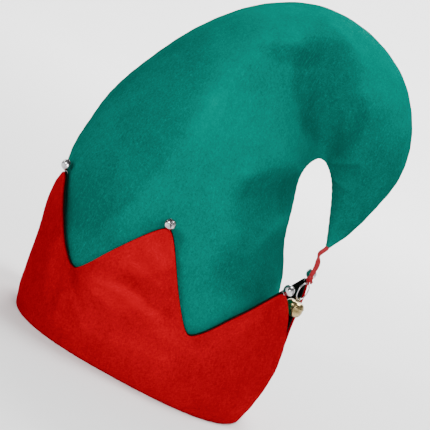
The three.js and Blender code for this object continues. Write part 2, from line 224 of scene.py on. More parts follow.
CUFF_POINTS = (
    PointRow(153, 0.928, 0.018, 125.5, 1.03, 20, 20),
    PointRow(94.6, 0.985, 0.015, 72, 1.0, 45, 35),
    PointRow(40, 0.935, 0.03, 3, 1.0, 40, 10),
    PointRow(-23, 0.96, 0.06, -60, 0.98, 12, 50),
    PointRow(-86, 0.95, 0.03, -113, 0.99, 35, 5),
    PointRow(-140, 0.93, 0.04, -171, 0.98, 25, 40),
)

CUFF_CREASES = (
    Crease(Side.FRONT, (-0.0365, 0.0905), (-0.0075, 0.0853), 0.0045, 0.0027),
    Crease(Side.FRONT, (-0.0507, 0.0634), (-0.0007, 0.0644), 0.0050, 0.0031),
    Crease(Side.FRONT, (-0.0296, 0.1102), (-0.0108, 0.1011), 0.0055, 0.0022),
    Crease(Side.FRONT, (-0.0321, 0.0784), (-0.0125, 0.0722), 0.0035, -0.0015),
    Crease(Side.FRONT, (-0.0628, 0.0444), (-0.0408, 0.0263), 0.0060, 0.0024),
    Crease(Side.FRONT, (0.0100, 0.0526), (0.0514, 0.0484), 0.0070, 0.0024),
    Crease(Side.FRONT, (-0.0182, 0.0300), (0.0250, 0.0330), 0.0080, 0.0019),
    Crease(Side.FRONT, (0.0529, 0.0610), (0.0679, 0.0893), 0.0080, 0.0020),
    Crease(Side.FRONT, (-0.0931, 0.0693), (-0.0809, 0.0316), 0.0070, 0.0020),
    Crease(Side.FRONT, (-0.0735, 0.0588), (-0.0571, 0.0429), 0.0034, -0.0022),
    Crease(Side.FRONT, (-0.0695, 0.0355), (-0.0648, 0.0185), 0.0045, 0.0018),
    Crease(Side.FRONT, (-0.0513, 0.0398), (-0.0434, 0.0300), 0.0032, -0.0018),
    Crease(Side.FRONT, (-0.0409, 0.0679), (-0.0135, 0.0688), 0.0040, 0.0022),
    Crease(Side.FRONT, (-0.0160, 0.0604), (0.0040, 0.0590), 0.0042, 0.0020),
    Crease(Side.FRONT, (-0.0474, 0.0531), (-0.0246, 0.0497), 0.0034, 0.0018),
    Crease(Side.FRONT, (-0.0066, 0.0673), (0.0102, 0.0686), 0.0030, -0.0016),
    Crease(Side.BACK, (-0.0600, 0.0700), (-0.0200, 0.0450), 0.0060, 0.0027),
    Crease(Side.BACK, (-0.0100, 0.0900), (0.0150, 0.0600), 0.0060, 0.0024),
    Crease(Side.BACK, (0.0300, 0.0300), (0.0700, 0.0500), 0.0080, 0.0022),
)

# Patches of painted shade (tone below 0) and painted highlight (tone above 0) on the red cuff.
CUFF_PAINTED_SHADE = (
    PaintedShadePatch((-0.0900, 0.0640), (0.052, 0.028), -73, 0.5, -0.24),
    PaintedShadePatch((-0.0247, 0.1036), (0.026, 0.016), 55, 0.3, 0.14),
    PaintedShadePatch((-0.0306, 0.0624), (0.032, 0.010), 0, 0.4, 0.1),
    PaintedShadePatch((0.0787, 0.0619), (0.050, 0.040), 59, 0.4, -0.08),
)

CROWN_FOOT = (
    FootRow(0.0, 0.0, 0.0, 0.0),
    FootRow(0.2, 0.0, 0.0, 0.0),
    FootRow(0.4, 0.004, 0.02, 0.006),
    FootRow(0.56, 0.007, 0.07, 0.012),
    FootRow(0.72, 0.008, 0.128, 0.02),
)

CROWN_SECTIONS = (
    SectionRow(-1.184, 0.4, 0.74, 0.368, 0.975, 0.5, 1.0, 2.3),
    SectionRow(-1.166, 0.48, 0.622, 0.446, 0.93, 0.5, 1.0, 2.15),
    SectionRow(-1.117, 0.576, 0.55, 0.53, 0.85, 0.49, 1.02, 2.0),
    SectionRow(-0.972, 0.69, 0.488, 0.602, 0.76, 0.47, 1.05, 2.0),
    SectionRow(-0.747, 0.817, 0.492, 0.637, 0.69, 0.42, 1.06, 1.95),
    SectionRow(-0.43, 0.928, 0.519, 0.656, 0.62, 0.29, 1.0, 1.6),
    SectionRow(-0.03, 0.996, 0.555, 0.666, 0.5, 0.2, 1.0, 1.25),
    SectionRow(0.405, 0.998, 0.598, 0.666, 0.41, 0.2, 1.0, 1.25),
    SectionRow(0.818, 0.939, 0.655, 0.656, 0.345, 0.34, 1.1, 1.8),
    SectionRow(1.082, 0.834, 0.722, 0.632, 0.28, 0.46, 1.12, 2.0),
    SectionRow(1.17, 0.728, 0.785, 0.594, 0.2, 0.5, 1.1, 2.0),
    SectionRow(1.118, 0.62, 0.852, 0.544, 0.135, 0.5, 1.05, 2.0),
    SectionRow(1.034, 0.533, 0.902, 0.504, 0.075, 0.5, 1.0, 2.0),
    SectionRow(0.963, 0.486, 0.922, 0.486, 0.032, 0.5, 1.0, 2.0),
)

CROWN_FOLDS = (
    FoldRow(0.4, 0.5, 0.04, 0.3, 0.03),
    FoldRow(0.655, 0.55, 0.03, 0.35, 0.03),
    FoldRow(0.2, 0.84, 0.055, 0.17, -0.06),
    FoldRow(0.285, 0.78, 0.035, 0.25, 0.03),
    FoldRow(0.16, 0.14, 0.08, 0.13, -0.05),
    FoldRow(0.25, 0.4, 0.08, 0.16, 0.03),
    FoldRow(0.75, 0.6, 0.04, 0.2, -0.025),
)

# Patches of painted shade (tone below 0) and painted highlight (tone above 0) on the green crown.
CROWN_PAINTED_SHADE = (
    PaintedShadePatch((-0.0864, 0.1725), (0.095, 0.039), 82, 0.14, -0.14),
    PaintedShadePatch((-0.0069, 0.2186), (0.040, 0.026), 14, 0.5, 0.07),
    PaintedShadePatch((0.0366, 0.2744), (0.053, 0.028), -53, 0.13, -0.22),
    PaintedShadePatch((-0.0040, 0.2845), (0.025, 0.008), 16, 0.25, -0.16),
    PaintedShadePatch((0.0985, 0.2290), (0.057, 0.034), -72, 0.3, -0.2),
    PaintedShadePatch((0.0318, 0.1778), (0.030, 0.021), -88, 0.3, -0.14),
    PaintedShadePatch((0.0300, 0.1905), (0.031, 0.010), 46, 0.25, -0.12),
    PaintedShadePatch((-0.0766, 0.0920), (0.050, 0.030), -78, 0.4, -0.16),
    PaintedShadePatch((0.0549, 0.1300), (0.036, 0.024), 45, 0.4, -0.26),
    PaintedShadePatch((-0.0091, 0.3131), (0.060, 0.012), 17, 0.5, 0.1),
    PaintedShadePatch((0.0772, 0.2975), (0.050, 0.014), -50, 0.5, 0.12),
)

CROWN_CREASES = (
    Crease(Side.FRONT, (-0.0267, 0.2843), (-0.0394, 0.2263), 0.0090, 0.0024),
    Crease(Side.FRONT, (-0.0394, 0.2263), (-0.0333, 0.1939), 0.0110, 0.0020),
    Crease(Side.FRONT, (-0.0267, 0.2870), (-0.0079, 0.2946), 0.0060, 0.0016),
    Crease(Side.FRONT, (-0.0079, 0.2946), (0.0145, 0.3160), 0.0060, 0.0016),
    Crease(Side.FRONT, (0.0145, 0.3160), (0.0431, 0.3100), 0.0060, 0.0018),
    Crease(Side.FRONT, (0.0431, 0.3100), (0.0570, 0.2892), 0.0060, 0.0020),
    Crease(Side.FRONT, (0.0570, 0.2892), (0.0620, 0.2550), 0.0070, 0.0016),
    Crease(Side.FRONT, (0.0455, 0.2115), (0.0114, 0.1869), 0.0055, 0.0020),
    Crease(Side.FRONT, (0.0114, 0.1869), (0.0097, 0.1633), 0.0060, 0.0013),
    Crease(Side.FRONT, (0.0450, 0.1900), (0.0300, 0.1650), 0.0110, -0.0024),
    Crease(Side.FRONT, (0.0537, 0.1679), (0.0414, 0.1321), 0.0050, 0.0018),
    Crease(Side.FRONT, (0.0671, 0.2229), (0.0880, 0.2352), 0.0028, 0.0020),
    Crease(Side.FRONT, (0.0671, 0.2189), (0.0870, 0.2306), 0.0028, -0.0016),
    Crease(Side.FRONT, (0.0758, 0.2118), (0.0913, 0.2119), 0.0026, 0.0016),
    Crease(Side.BACK, (-0.0300, 0.2700), (-0.0420, 0.2000), 0.0090, 0.0022),
    Crease(Side.BACK, (-0.0050, 0.2900), (0.0450, 0.3050), 0.0065, 0.0018),
    Crease(Side.BACK, (0.0450, 0.3050), (0.0600, 0.2650), 0.0065, 0.0018),
    Crease(Side.BACK, (0.0430, 0.2100), (0.0050, 0.1800), 0.0060, 0.0020),
    Crease(Side.BACK, (0.0500, 0.1650), (0.0300, 0.1300), 0.0060, 0.0016),
    Crease(Side.BACK, (0.0680, 0.2200), (0.0900, 0.2300), 0.0032, 0.0012),
)


# Arithmetic on curves and nets


def smooth_value(keys: np.ndarray, values: np.ndarray, places: np.ndarray) -> np.ndarray:
    """Reads a table smoothly between its rows.

    Args:
        keys: Rising places of the rows.
        values: Values of the rows.
        places: Places to read at.

    Returns:
        One value for each place.
    """
    last = len(keys) - 1
    index = np.clip(np.searchsorted(keys, places, side="right") - 1, 0, last - 1)
    before = np.maximum(index - 1, 0)
    after = np.minimum(index + 2, last)
    span = keys[index + 1] - keys[index]
    share = np.clip((places - keys[index]) / span, 0, 1)
    slope_from = (values[index + 1] - values[before]) / (keys[index + 1] - keys[before]) * span
    slope_to = (values[after] - values[index]) / (keys[after] - keys[index]) * span
    square = share * share
    cube = square * share
    return (
        (2 * cube - 3 * square + 1) * values[index]
        + (cube - 2 * square + share) * slope_from
        + (3 * square - 2 * cube) * values[index + 1]
        + (cube - square) * slope_to
    )


def table_column(rows: Sequence[object], key: str, column: str, places: np.ndarray) -> np.ndarray:
    """Reads one column of a table of rows smoothly.

    Args:
        rows: The table.
        key: Name of the column that the places are in.
        column: Name of the column to read.
        places: Places to read at.

    Returns:
        One value for each place.
    """
    keys = np.array([getattr(row, key) for row in rows], float)
    values = np.array([getattr(row, column) for row in rows], float)
    return smooth_value(keys, values, np.asarray(places, float))


def edge_curve(points: np.ndarray, places: np.ndarray) -> np.ndarray:
    """Runs a centripetal curve through points.

    Args:
        points: The points, one a row.
        places: Places on the curve, in points from the first one.

    Returns:
        One point for each place.
    """
    padded = np.vstack([2 * points[0] - points[1], points, 2 * points[-1] - points[-2]])
    index = np.clip(np.floor(places).astype(int), 0, len(points) - 2)
    share = (places - index)[:, None]
    first, second, third, fourth = (padded[index + step] for step in range(4))
    pairs = ((first, second), (second, third), (third, fourth))
    gaps = [np.sqrt(np.linalg.norm(after - before, axis=1))[:, None] for before, after in pairs]
    leave = (second - first) / gaps[0] - (third - first) / (gaps[0] + gaps[1]) + (third - second) / gaps[1]
    arrive = (third - second) / gaps[1] - (fourth - second) / (gaps[1] + gaps[2]) + (fourth - third) / gaps[2]
    leave = leave * gaps[1]
    arrive = arrive * gaps[1]
    square = share * share
    cube = square * share
    return (
        second
        + leave * share
        + (-3 * second + 3 * third - 2 * leave - arrive) * square
        + (2 * second - 2 * third + leave + arrive) * cube
    )


def oval_reach(turn: np.ndarray, square: np.ndarray | float) -> np.ndarray:
    """How far an oval of a given squareness reaches past an ellipse, at angles in radians."""
    power = np.asarray(square, float)
    return (np.abs(np.cos(turn)) ** power + np.abs(np.sin(turn)) ** power) ** (-1 / power)


def smooth_step(low: float, high: float, value: np.ndarray) -> np.ndarray:
    """A soft rise from 0 at low to 1 at high."""
    share = np.clip((value - low) / (high - low), 0, 1)
    return share * share * (3 - 2 * share)


def wander(points: np.ndarray, size: float, seed: float) -> np.ndarray:
    """Smooth noise at points.

    Args:
        points: An array of any shape with three coordinates last.
        size: Width of the largest bumps, in metres.
        seed: Shift that gives another pattern.

    Returns:
        Values of about -1 to 1, without the last axis.
    """
    flat = points.reshape(-1, 3) / size + seed
    values = [noise.fractal(Vector(place), NOISE_GAIN, NOISE_STEP, NOISE_LAYERS) for place in flat]
    return np.array(values).reshape(points.shape[:-1])


def rolling(points: np.ndarray, rolls: Sequence[Roll]) -> np.ndarray:
    """Lift of a table of rolls at points."""
    return sum(wander(points, roll.size, roll.seed) * roll.lift for roll in rolls)


def net_normals(rings: np.ndarray) -> np.ndarray:
    """Outward directions of a net of rings.

    Args:
        rings: Points by ring and by place round the ring.

    Returns:
        Unit vectors that point away from each ring's middle.
    """
    round_ring = np.roll(rings, -1, axis=1) - np.roll(rings, 1, axis=1)
    down_net = np.gradient(rings, axis=0)
    normals = np.cross(round_ring, down_net)
    normals /= np.maximum(np.linalg.norm(normals, axis=2, keepdims=True), 1e-12)
    outward = np.sum(normals * (rings - rings.mean(axis=1, keepdims=True)), axis=2, keepdims=True)
    return np.where(outward < 0, -normals, normals)


def round_path(count: int, start: Sequence[float], quarter: Sequence[float]) -> np.ndarray:
    """A closed path round the origin.

    Args:
        count: How many points it has.
        start: Its first point.
        quarter: Its point a quarter turn on.

    Returns:
        The points, one a row.
    """
    turn = np.linspace(0, 2 * math.pi, count, endpoint=False)[:, None]
    return np.cos(turn) * np.array(start) + np.sin(turn) * np.array(quarter)


def add_object(name: str, data: bpy.types.ID) -> bpy.types.Object:
    """Makes an object and puts it in the scene.

    Args:
        name: The object's name.
        data: Its mesh, light or camera.

    Returns:
        The object.
    """
    made = bpy.data.objects.new(name, data)
    bpy.context.scene.collection.objects.link(made)
    return made


def evaluated_mesh(carrier: bpy.types.Object) -> bpy.types.Mesh:
    """The plain mesh that an object's modifiers make."""
    bpy.context.view_layer.update()
    return bpy.data.meshes.new_from_object(carrier.evaluated_get(bpy.context.evaluated_depsgraph_get()))


@dataclass
class Form:
    """Vertices and faces of a mesh before it is an object."""

    vertices: np.ndarray
    faces: list[tuple[int, ...]]

    @classmethod
    def net(cls, rings: np.ndarray, looped: bool = False) -> "Form":
        """Joins rings of points, closing each end with a fan unless the net is looped.

        Args:
            rings: Points by ring and by place round the ring.
            looped: Whether the last ring joins the first one.

        Returns:
            A closed form with its faces outward.
        """
        count, sides = rings.shape[:2]
        vertices = rings.reshape(-1, 3)
        grid = np.arange(count * sides).reshape(count, sides)
        over = np.roll(grid, -1, axis=0) if looped else grid[1:]
        under = grid if looped else grid[:-1]
        quads = np.stack([under, np.roll(under, -1, axis=1), np.roll(over, -1, axis=1), over], axis=-1)
        faces = [tuple(quad) for quad in quads.reshape(-1, 4).tolist()]
        if not looped:
            ends = np.stack([rings[0].mean(axis=0), rings[-1].mean(axis=0)])
            vertices = np.vstack([vertices, ends])
            first, last = len(vertices) - 2, len(vertices) - 1
            faces += [(first, int(b), int(a)) for a, b in zip(grid[0], np.roll(grid[0], -1))]
            faces += [(last, int(a), int(b)) for a, b in zip(grid[-1], np.roll(grid[-1], -1))]
        return cls(vertices, faces).outward()

    @classmethod
    def lathe(cls, profile: Sequence[tuple[float, float]], sides: int) -> "Form":
        """Turns a half profile about Z.

        Args:
            profile: Radius and height of each point, from one pole to the other.
            sides: How many places round the axis.

        Returns:
            A closed form.
        """
        turn = np.arange(sides) * 2 * math.pi / sides
        rows = [(radius, height) for radius, height in profile if radius > 1e-9]
        rings = np.array([
            np.stack([radius * np.cos(turn), radius * np.sin(turn), np.full(sides, height)], axis=1)
            for radius, height in rows
        ])
        form = cls.net(rings)
        form.vertices[-2, 2] = profile[0][1]
        form.vertices[-1, 2] = profile[-1][1]
        return form

    @classmethod
    def ball(cls, radius: float, middle: float, bands: int, sides: int, seam: float = 0.0) -> "Form":
        """A ball on the Z axis, crimped round its middle where it has a seam.

        Args:
            radius: The ball's radius.
            middle: Height of its centre.
            bands: How many bands it has from pole to pole.
            sides: How many places round it.
            seam: How far the seam stands out.

        Returns:
            A closed form.
        """
        turns = np.linspace(0, math.pi, bands + 1)
        reach = radius + seam * np.exp(-(((turns - math.pi / 2) / SEAM_ANGLE) ** 2))
        return cls.lathe(list(zip(reach * np.sin(turns), middle - reach * np.cos(turns))), sides)

    @classmethod
    def tube(
        cls,
        path: np.ndarray,
        wide: float,
        thick: float,
        twist: np.ndarray | float = 0.0,
        sides: int = 12,
        looped: bool = False,
        square: float = 2.0,
    ) -> "Form":
        """Sweeps an oval along a path.

        Args:
            path: The points of the path.
            wide: The oval's full width.
            thick: The oval's full thickness.
            twist: Turn of the oval about the path, in radians, at each point or everywhere.
            sides: How many places round the oval.
            looped: Whether the path closes on itself.
            square: How square the oval is; 2 is an ellipse.

        Returns:
            A closed form.
        """
        ahead = np.roll(path, -1, axis=0) - np.roll(path, 1, axis=0)
        if not looped:
            ahead = np.gradient(path, axis=0)
        ahead /= np.linalg.norm(ahead, axis=1, keepdims=True)
        side = np.zeros_like(path)
        start = np.cross(ahead[0], (0.0, 1.0, 0.0))
        if np.linalg.norm(start) < 0.1:
            start = np.cross(ahead[0], (1.0, 0.0, 0.0))
        side[0] = start / np.linalg.norm(start)
        for step in range(1, len(path)):
            carried = side[step - 1] - ahead[step] * np.dot(side[step - 1], ahead[step])
            side[step] = carried / np.linalg.norm(carried)
        over = np.cross(ahead, side)
        turns = np.broadcast_to(np.asarray(twist, float), (len(path),))
        if looped:
            closing = np.arctan2(np.dot(side[-1], over[0]), np.dot(side[-1], side[0]))
            turns = turns - closing * np.arange(len(path)) / len(path)
        across = side * np.cos(turns)[:, None] + over * np.sin(turns)[:, None]
        up = np.cross(ahead, across)
        turn = np.arange(sides) * 2 * math.pi / sides
        reach = oval_reach(turn, square)
        width = (wide / 2 * reach * np.cos(turn))[None, :, None]
        height = (thick / 2 * reach * np.sin(turn))[None, :, None]
        rings = path[:, None, :] + across[:, None, :] * width + up[:, None, :] * height
        return cls.net(rings, looped)

    @classmethod
    def block(cls, low: Sequence[float], high: Sequence[float]) -> "Form":
        """A box between two corners, for cutting.

        Args:
            low: The lowest corner.
            high: The highest corner.

        Returns:
            A closed form.
        """
        corners = [(x, y, z) for x in (low[0], high[0]) for y in (low[1], high[1]) for z in (low[2], high[2])]
        faces = [(0, 1, 3, 2), (4, 6, 7, 5), (0, 4, 5, 1), (2, 3, 7, 6), (0, 2, 6, 4), (1, 5, 7, 3)]
        return cls(np.array(corners, float), faces).outward()

    def triangles(self) -> np.ndarray:
        """The faces as triangles."""
        fans = [(face[0], *face[k:k + 2]) for face in self.faces for k in range(1, len(face) - 1)]
        return np.array(fans)

    def outward(self) -> "Form":
        """The form with its faces turned outward.

        Returns:
            This form, or one with its faces turned round.
        """
        corners = self.vertices[self.triangles()]
        volume = np.einsum("ij,ij->", corners[:, 0], np.cross(corners[:, 1], corners[:, 2]))
        return self if volume >= 0 else self.flipped()

    def flipped(self) -> "Form":
        """The form with its faces turned round, as for a hollow."""
        return Form(self.vertices, [face[::-1] for face in self.faces])

    def moved(self, matrix: Matrix) -> "Form":
        """The form after a move and a turn."""
        table = np.array(matrix)
        return Form(self.vertices @ table[:3, :3].T + table[:3, 3], self.faces)

    def joined(self, *others: "Form") -> "Form":
        """This form and others as one.

        Args:
            others: The forms to add.

        Returns:
            One form.
        """
        vertices = [self.vertices]
        faces = list(self.faces)
        shift = len(self.vertices)
        for other in others:
            vertices.append(other.vertices)
            faces += [tuple(corner + shift for corner in face) for face in other.faces]
            shift += len(other.vertices)
        return Form(np.vstack(vertices), faces)

    def mesh(self, name: str) -> bpy.types.Mesh:
        """Blender's mesh of this form.

        Args:
            name: The mesh's name.

        Returns:
            The mesh.
        """
        mesh = bpy.data.meshes.new(name)
        mesh.from_pydata(self.vertices.tolist(), [], self.faces)
        mesh.validate()
        return mesh

    def with_painted_shade(
        self, name: str, patches: Sequence[PaintedShadePatch], creases: Sequence[Crease], painted_light_per_lift: float = 45.0
    ) -> bpy.types.Mesh:
        """Blender's mesh of this form with painted shade and painted highlight as a per-vertex tone
        attribute.

        Args:
            name: The mesh's name.
            patches: The patches of painted shade and highlight.
            creases: The creases, with highlight painted where they rise and shade painted where they sink.
            painted_light_per_lift: How much painted highlight or shade, by metre of lift.

        Returns:
            The mesh.
        """
        mesh = self.mesh(name)
        # Painted shade and painted highlight: the patches' tones, plus a tone that follows each crease's
        # lift.
        tone = sum(patch.shade(self.vertices) for patch in patches)
        tone = tone + painted_light_per_lift * sum(crease.relief(self.vertices) for crease in creases)
        mesh.attributes.new("nap_and_painted_shade", "FLOAT", "POINT").data.foreach_set("value", tone)
        return mesh

    def without(self, *cutters: "Form") -> "Form":
        """Cuts other forms out of this one.

        Args:
            cutters: The closed forms to take away.

        Returns:
            What is left.
        """
        body = add_object("cut body", self.mesh("cut body"))
        tools = []
        for cutter in cutters:
            tool = add_object("cutter", cutter.mesh("cutter"))
            modifier = body.modifiers.new("cut", "BOOLEAN")
            modifier.operation = "DIFFERENCE"
            modifier.solver = "EXACT"
            modifier.object = tool
            tools.append(tool)
        cut = evaluated_mesh(body)
        places = np.zeros(len(cut.vertices) * 3)
        cut.vertices.foreach_get("co", places)
        faces = [tuple(polygon.vertices) for polygon in cut.polygons]
        for tool in (body, *tools):
            bpy.data.objects.remove(tool)
        bpy.data.meshes.remove(cut)
        return Form(places.reshape(-1, 3), faces)


def finish_piece(
    form: Form | bpy.types.Mesh,
    name: str,
    material: bpy.types.Material,
    body: Body,
    slot: Slot,
    stands_for: Sequence[str] = (),
    sharp_from: float = 60.0,
) -> bpy.types.Object:
    """Makes a finished piece of a form and hangs it on its body.

    Args:
        form: The piece's form, or its mesh.
        name: The piece's name.
        material: Its finish.
        body: The body that it rides on.
        slot: The record's material slot that it takes its finish from; not used.
        stands_for: The frame's nodes that it replaces.
        sharp_from: Angle in degrees from which an edge is shaded sharp.

    Returns:
        The piece's object.
    """
    mesh = form.mesh(name) if isinstance(form, Form) else form
    mesh.name = name
    mesh.materials.clear()
    mesh.materials.append(material)
    mesh.shade_smooth()
    mesh.set_sharp_from_angle(angle=math.radians(sharp_from))
    piece = add_object(name, mesh)
    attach(piece, body.value)
    if stands_for:
        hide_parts(*stands_for)
    log.info("%s: %d faces", name, len(mesh.polygons))
    return piece


# Node trees


@dataclass(frozen=True)
class Wire:
    """A node's output, on which arithmetic adds Math nodes."""

    sheet: "NodeSheet"
    socket: bpy.types.NodeSocket

    def _math(self, operation: str, first: "Wire | float", second: "Wire | float") -> "Wire":
        """Adds one Math node."""
        return self.sheet.wire("ShaderNodeMath", 0, {"operation": operation}, {0: first, 1: second})

    def __add__(self, other: "Wire | float") -> "Wire":
        """Sum."""
        return self._math("ADD", self, other)

    def __radd__(self, other: float) -> "Wire":
        """Sum from the right."""
        return self._math("ADD", other, self)

    def __sub__(self, other: "Wire | float") -> "Wire":
        """Difference."""
        return self._math("SUBTRACT", self, other)

    def __rsub__(self, other: float) -> "Wire":
        """Difference from the right."""
        return self._math("SUBTRACT", other, self)

    def __mul__(self, other: "Wire | float") -> "Wire":
        """Product."""
        return self._math("MULTIPLY", self, other)

    def __rmul__(self, other: float) -> "Wire":
        """Product from the right."""
        return self._math("MULTIPLY", other, self)

    def __truediv__(self, other: "Wire | float") -> "Wire":
        """Quotient."""
        return self._math("DIVIDE", self, other)

    def __rtruediv__(self, other: float) -> "Wire":
        """Quotient from the right."""
        return self._math("DIVIDE", other, self)

    def higher(self, other: "Wire | float") -> "Wire":
        """The larger of two values."""
        return self._math("MAXIMUM", self, other)


@dataclass(frozen=True)
class NodeSheet:
    """A node tree that one method fills, in a material or for Geometry Nodes."""

    tree: bpy.types.NodeTree

    def add(
        self,
        kind: str,
        settings: Mapping[str, object] | None = None,
        sockets: Mapping[str | int, object] | None = None,
    ) -> bpy.types.Node:
        """Adds a node.

        Args:
            kind: The node's type.
            settings: Its settings, set first.
            sockets: Values or links of its inputs, by name or index.

        Returns:
            The node.
        """
        node = self.tree.nodes.new(kind)
        for name, value in (settings or {}).items():
            setattr(node, name, value)
        for key, value in (sockets or {}).items():
            if isinstance(value, Wire):
                self.tree.links.new(value.socket, node.inputs[key])
            else:
                node.inputs[key].default_value = value
        return node

    def wire(
        self,
        kind: str,
        output: str | int = 0,
        settings: Mapping[str, object] | None = None,
        sockets: Mapping[str | int, object] | None = None,
    ) -> Wire:
        """Adds a node and takes one of its outputs.

        Args:
            kind: The node's type.
            output: Name or index of the output.
            settings: As for add.
            sockets: As for add.

        Returns:
            The output.
        """
        return Wire(self, self.add(kind, settings, sockets).outputs[output])

    def vector(self, x: Wire | float = 0.0, y: Wire | float = 0.0, z: Wire | float = 0.0) -> Wire:
        """Joins three numbers to a vector."""
        return self.wire("ShaderNodeCombineXYZ", 0, {}, {0: x, 1: y, 2: z})

    def chance(self, low: float | Sequence[float], high: float | Sequence[float], seed: Wire) -> Wire:
        """Random numbers, or vectors where the limits are vectors.

        Args:
            low: The lowest value.
            high: The highest value.
            seed: The seed.

        Returns:
            One value for each point.
        """
        if isinstance(low, float):
            sockets, kind, output = {2: low, 3: high}, "FLOAT", 1
        else:
            sockets, kind, output = {0: low, 1: high}, "FLOAT_VECTOR", 0
        sockets["Seed"] = seed
        return self.wire("FunctionNodeRandomValue", output, {"data_type": kind}, sockets)

    def blend(
        self, share: Wire | float, first: Wire | Sequence[float], second: Wire | Sequence[float]
    ) -> Wire:
        """Mixes two colours.

        Args:
            share: How much of the second.
            first: Colour at 0.
            second: Colour at 1.

        Returns:
            The mixed colour.
        """
        settings = {"data_type": "RGBA", "clamp_factor": True}
        return self.wire("ShaderNodeMix", 2, settings, {0: share, 6: first, 7: second})

    def noise(
        self, place: Wire, scale: float, detail: float, roughness: float = 0.5, distortion: float = 0.0
    ) -> Wire:
        """Adds a noise texture.

        Args:
            place: The coordinates.
            scale: Bumps a metre.
            detail: Layers of finer noise.
            roughness: How strong the finer layers are.
            distortion: How far it is stirred.

        Returns:
            Its value, 0 to 1.
        """
        sockets = {
            "Vector": place, "Scale": scale, "Detail": detail, "Roughness": roughness,
            "Distortion": distortion,
        }
        return self.wire("ShaderNodeTexNoise", 0, {}, sockets)


@dataclass(frozen=True)
class Surface:
    """A material with its shader and its object coordinates."""

    material: bpy.types.Material
    sheet: NodeSheet
    shader: bpy.types.Node
    place: Wire

    @classmethod
    def start(cls, name: str) -> "Surface":
        """Makes a material with one Principled shader.

        Args:
            name: The material's name.

        Returns:
            The surface.
        """
        material = bpy.data.materials.new(name)
        material.use_nodes = True
        material.node_tree.nodes.clear()
        sheet = NodeSheet(material.node_tree)
        shader = sheet.add("ShaderNodeBsdfPrincipled")
        sheet.add("ShaderNodeOutputMaterial", {}, {"Surface": Wire(sheet, shader.outputs[0])})
        return cls(material, sheet, shader, sheet.wire("ShaderNodeTexCoord", "Object"))

    def set(self, **sockets: object) -> None:
        """Sets or links inputs of the shader; an underscore stands for a space.

        Args:
            sockets: Values or wires, by input name.
        """
        for key, value in sockets.items():
            socket = self.shader.inputs[key.replace("_", " ")]
            if isinstance(value, Wire):
                self.sheet.tree.links.new(value.socket, socket)
            else:
                socket.default_value = value

    def bump(self, height: Wire, depth: float, strength: float) -> None:
        """Raises the surface by a height map of a given depth in metres."""
        sockets = {"Height": height, "Distance": depth, "Strength": strength}
        self.set(Normal=self.sheet.wire("ShaderNodeBump", 0, {}, sockets))

    def stretched(self, turn: Sequence[float], scale: Sequence[float]) -> Wire:
        """Object coordinates turned by angles in degrees and scaled.

        Args:
            turn: The angles.
            scale: The scale on each axis.

        Returns:
            The coordinates.
        """
        angles = tuple(math.radians(angle) for angle in turn)
        sockets = {"Vector": self.place, "Rotation": angles, "Scale": tuple(scale)}
        return self.sheet.wire("ShaderNodeMapping", 0, {}, sockets)


# Finishes


FELT_STRANDS = (
    ((8, 24, 0), (1100, 1100, 170)),
    ((-12, -38, 0), (1100, 1100, 150)),
    ((70, 15, 40), (1000, 1000, 160)),
)


@dataclass(frozen=True)
class FeltFinish:
    """Pressed felt: clouds of colour, a fine mottle and crossing fibres with a short pile, darkened and
    lightened by painted shade and highlight from a mesh attribute.
    """

    name: str
    deep: Colour
    pale: Colour
    fibre: Colour
    sheen: float = 0.02
    nap_and_painted_shade: float = 0.0005
    cloud_scale: float = 26.0
    patch_scale: float = 95.0
    mottle_scale: float = 620.0
    grain_scale: float = 1700.0
    painted_shade_share: float = 1.6
    hair_share: float = 0.42

    def make(self) -> bpy.types.Material:
        """Builds the material.

        Returns:
            The material.
        """
        surface = Surface.start(self.name)
        sheet, place = surface.sheet, surface.place
        clouds = sheet.noise(place, self.cloud_scale, 3, 0.55)
        patches = sheet.noise(place, self.patch_scale, 3, 0.6)
        mottle = sheet.noise(place, self.mottle_scale, 4, 0.7)
        grain = sheet.noise(place, self.grain_scale, 2, 0.6)
        strands = [
            sheet.noise(surface.stretched(turn, scale), 1, 3, 0.6, 1.6) for turn, scale in FELT_STRANDS
        ]
        strand = strands[0].higher(strands[1]).higher(strands[2])
        hair = sheet.wire("ShaderNodeMapRange", 0, {}, {0: strand, 1: 0.58, 2: 0.8, 3: 0.0, 4: 1.0})
        soft = (clouds - 0.5) * 0.4 + (patches - 0.5) * 0.35
        shade = 0.5 + soft + (mottle - 0.5) * 1.2 + (grain - 0.5) * 0.6
        # Painted shade and painted highlight: a per-vertex tone, scaled by its share, darkens or lightens the
        # cloth colour.
        nap_and_painted_shade = sheet.wire("ShaderNodeAttribute", "Fac", {"attribute_name": "nap_and_painted_shade"})
        cloth = sheet.blend(shade + nap_and_painted_shade * self.painted_shade_share, (*self.deep, 1), (*self.pale, 1))
        surface.set(
            Base_Color=sheet.blend(hair * self.hair_share, cloth, (*self.fibre, 1)),
            Roughness=0.86 + (mottle - 0.5) * 0.2,
            Sheen_Weight=self.sheen,
            Sheen_Roughness=0.45,
            Sheen_Tint=(*self.fibre, 1),
            Specular_IOR_Level=0.0,
        )
        surface.bump(mottle * 0.55 + grain * 0.35 + hair * 0.4 + patches * 0.8, self.nap_and_painted_shade, 0.75)
        return surface.material


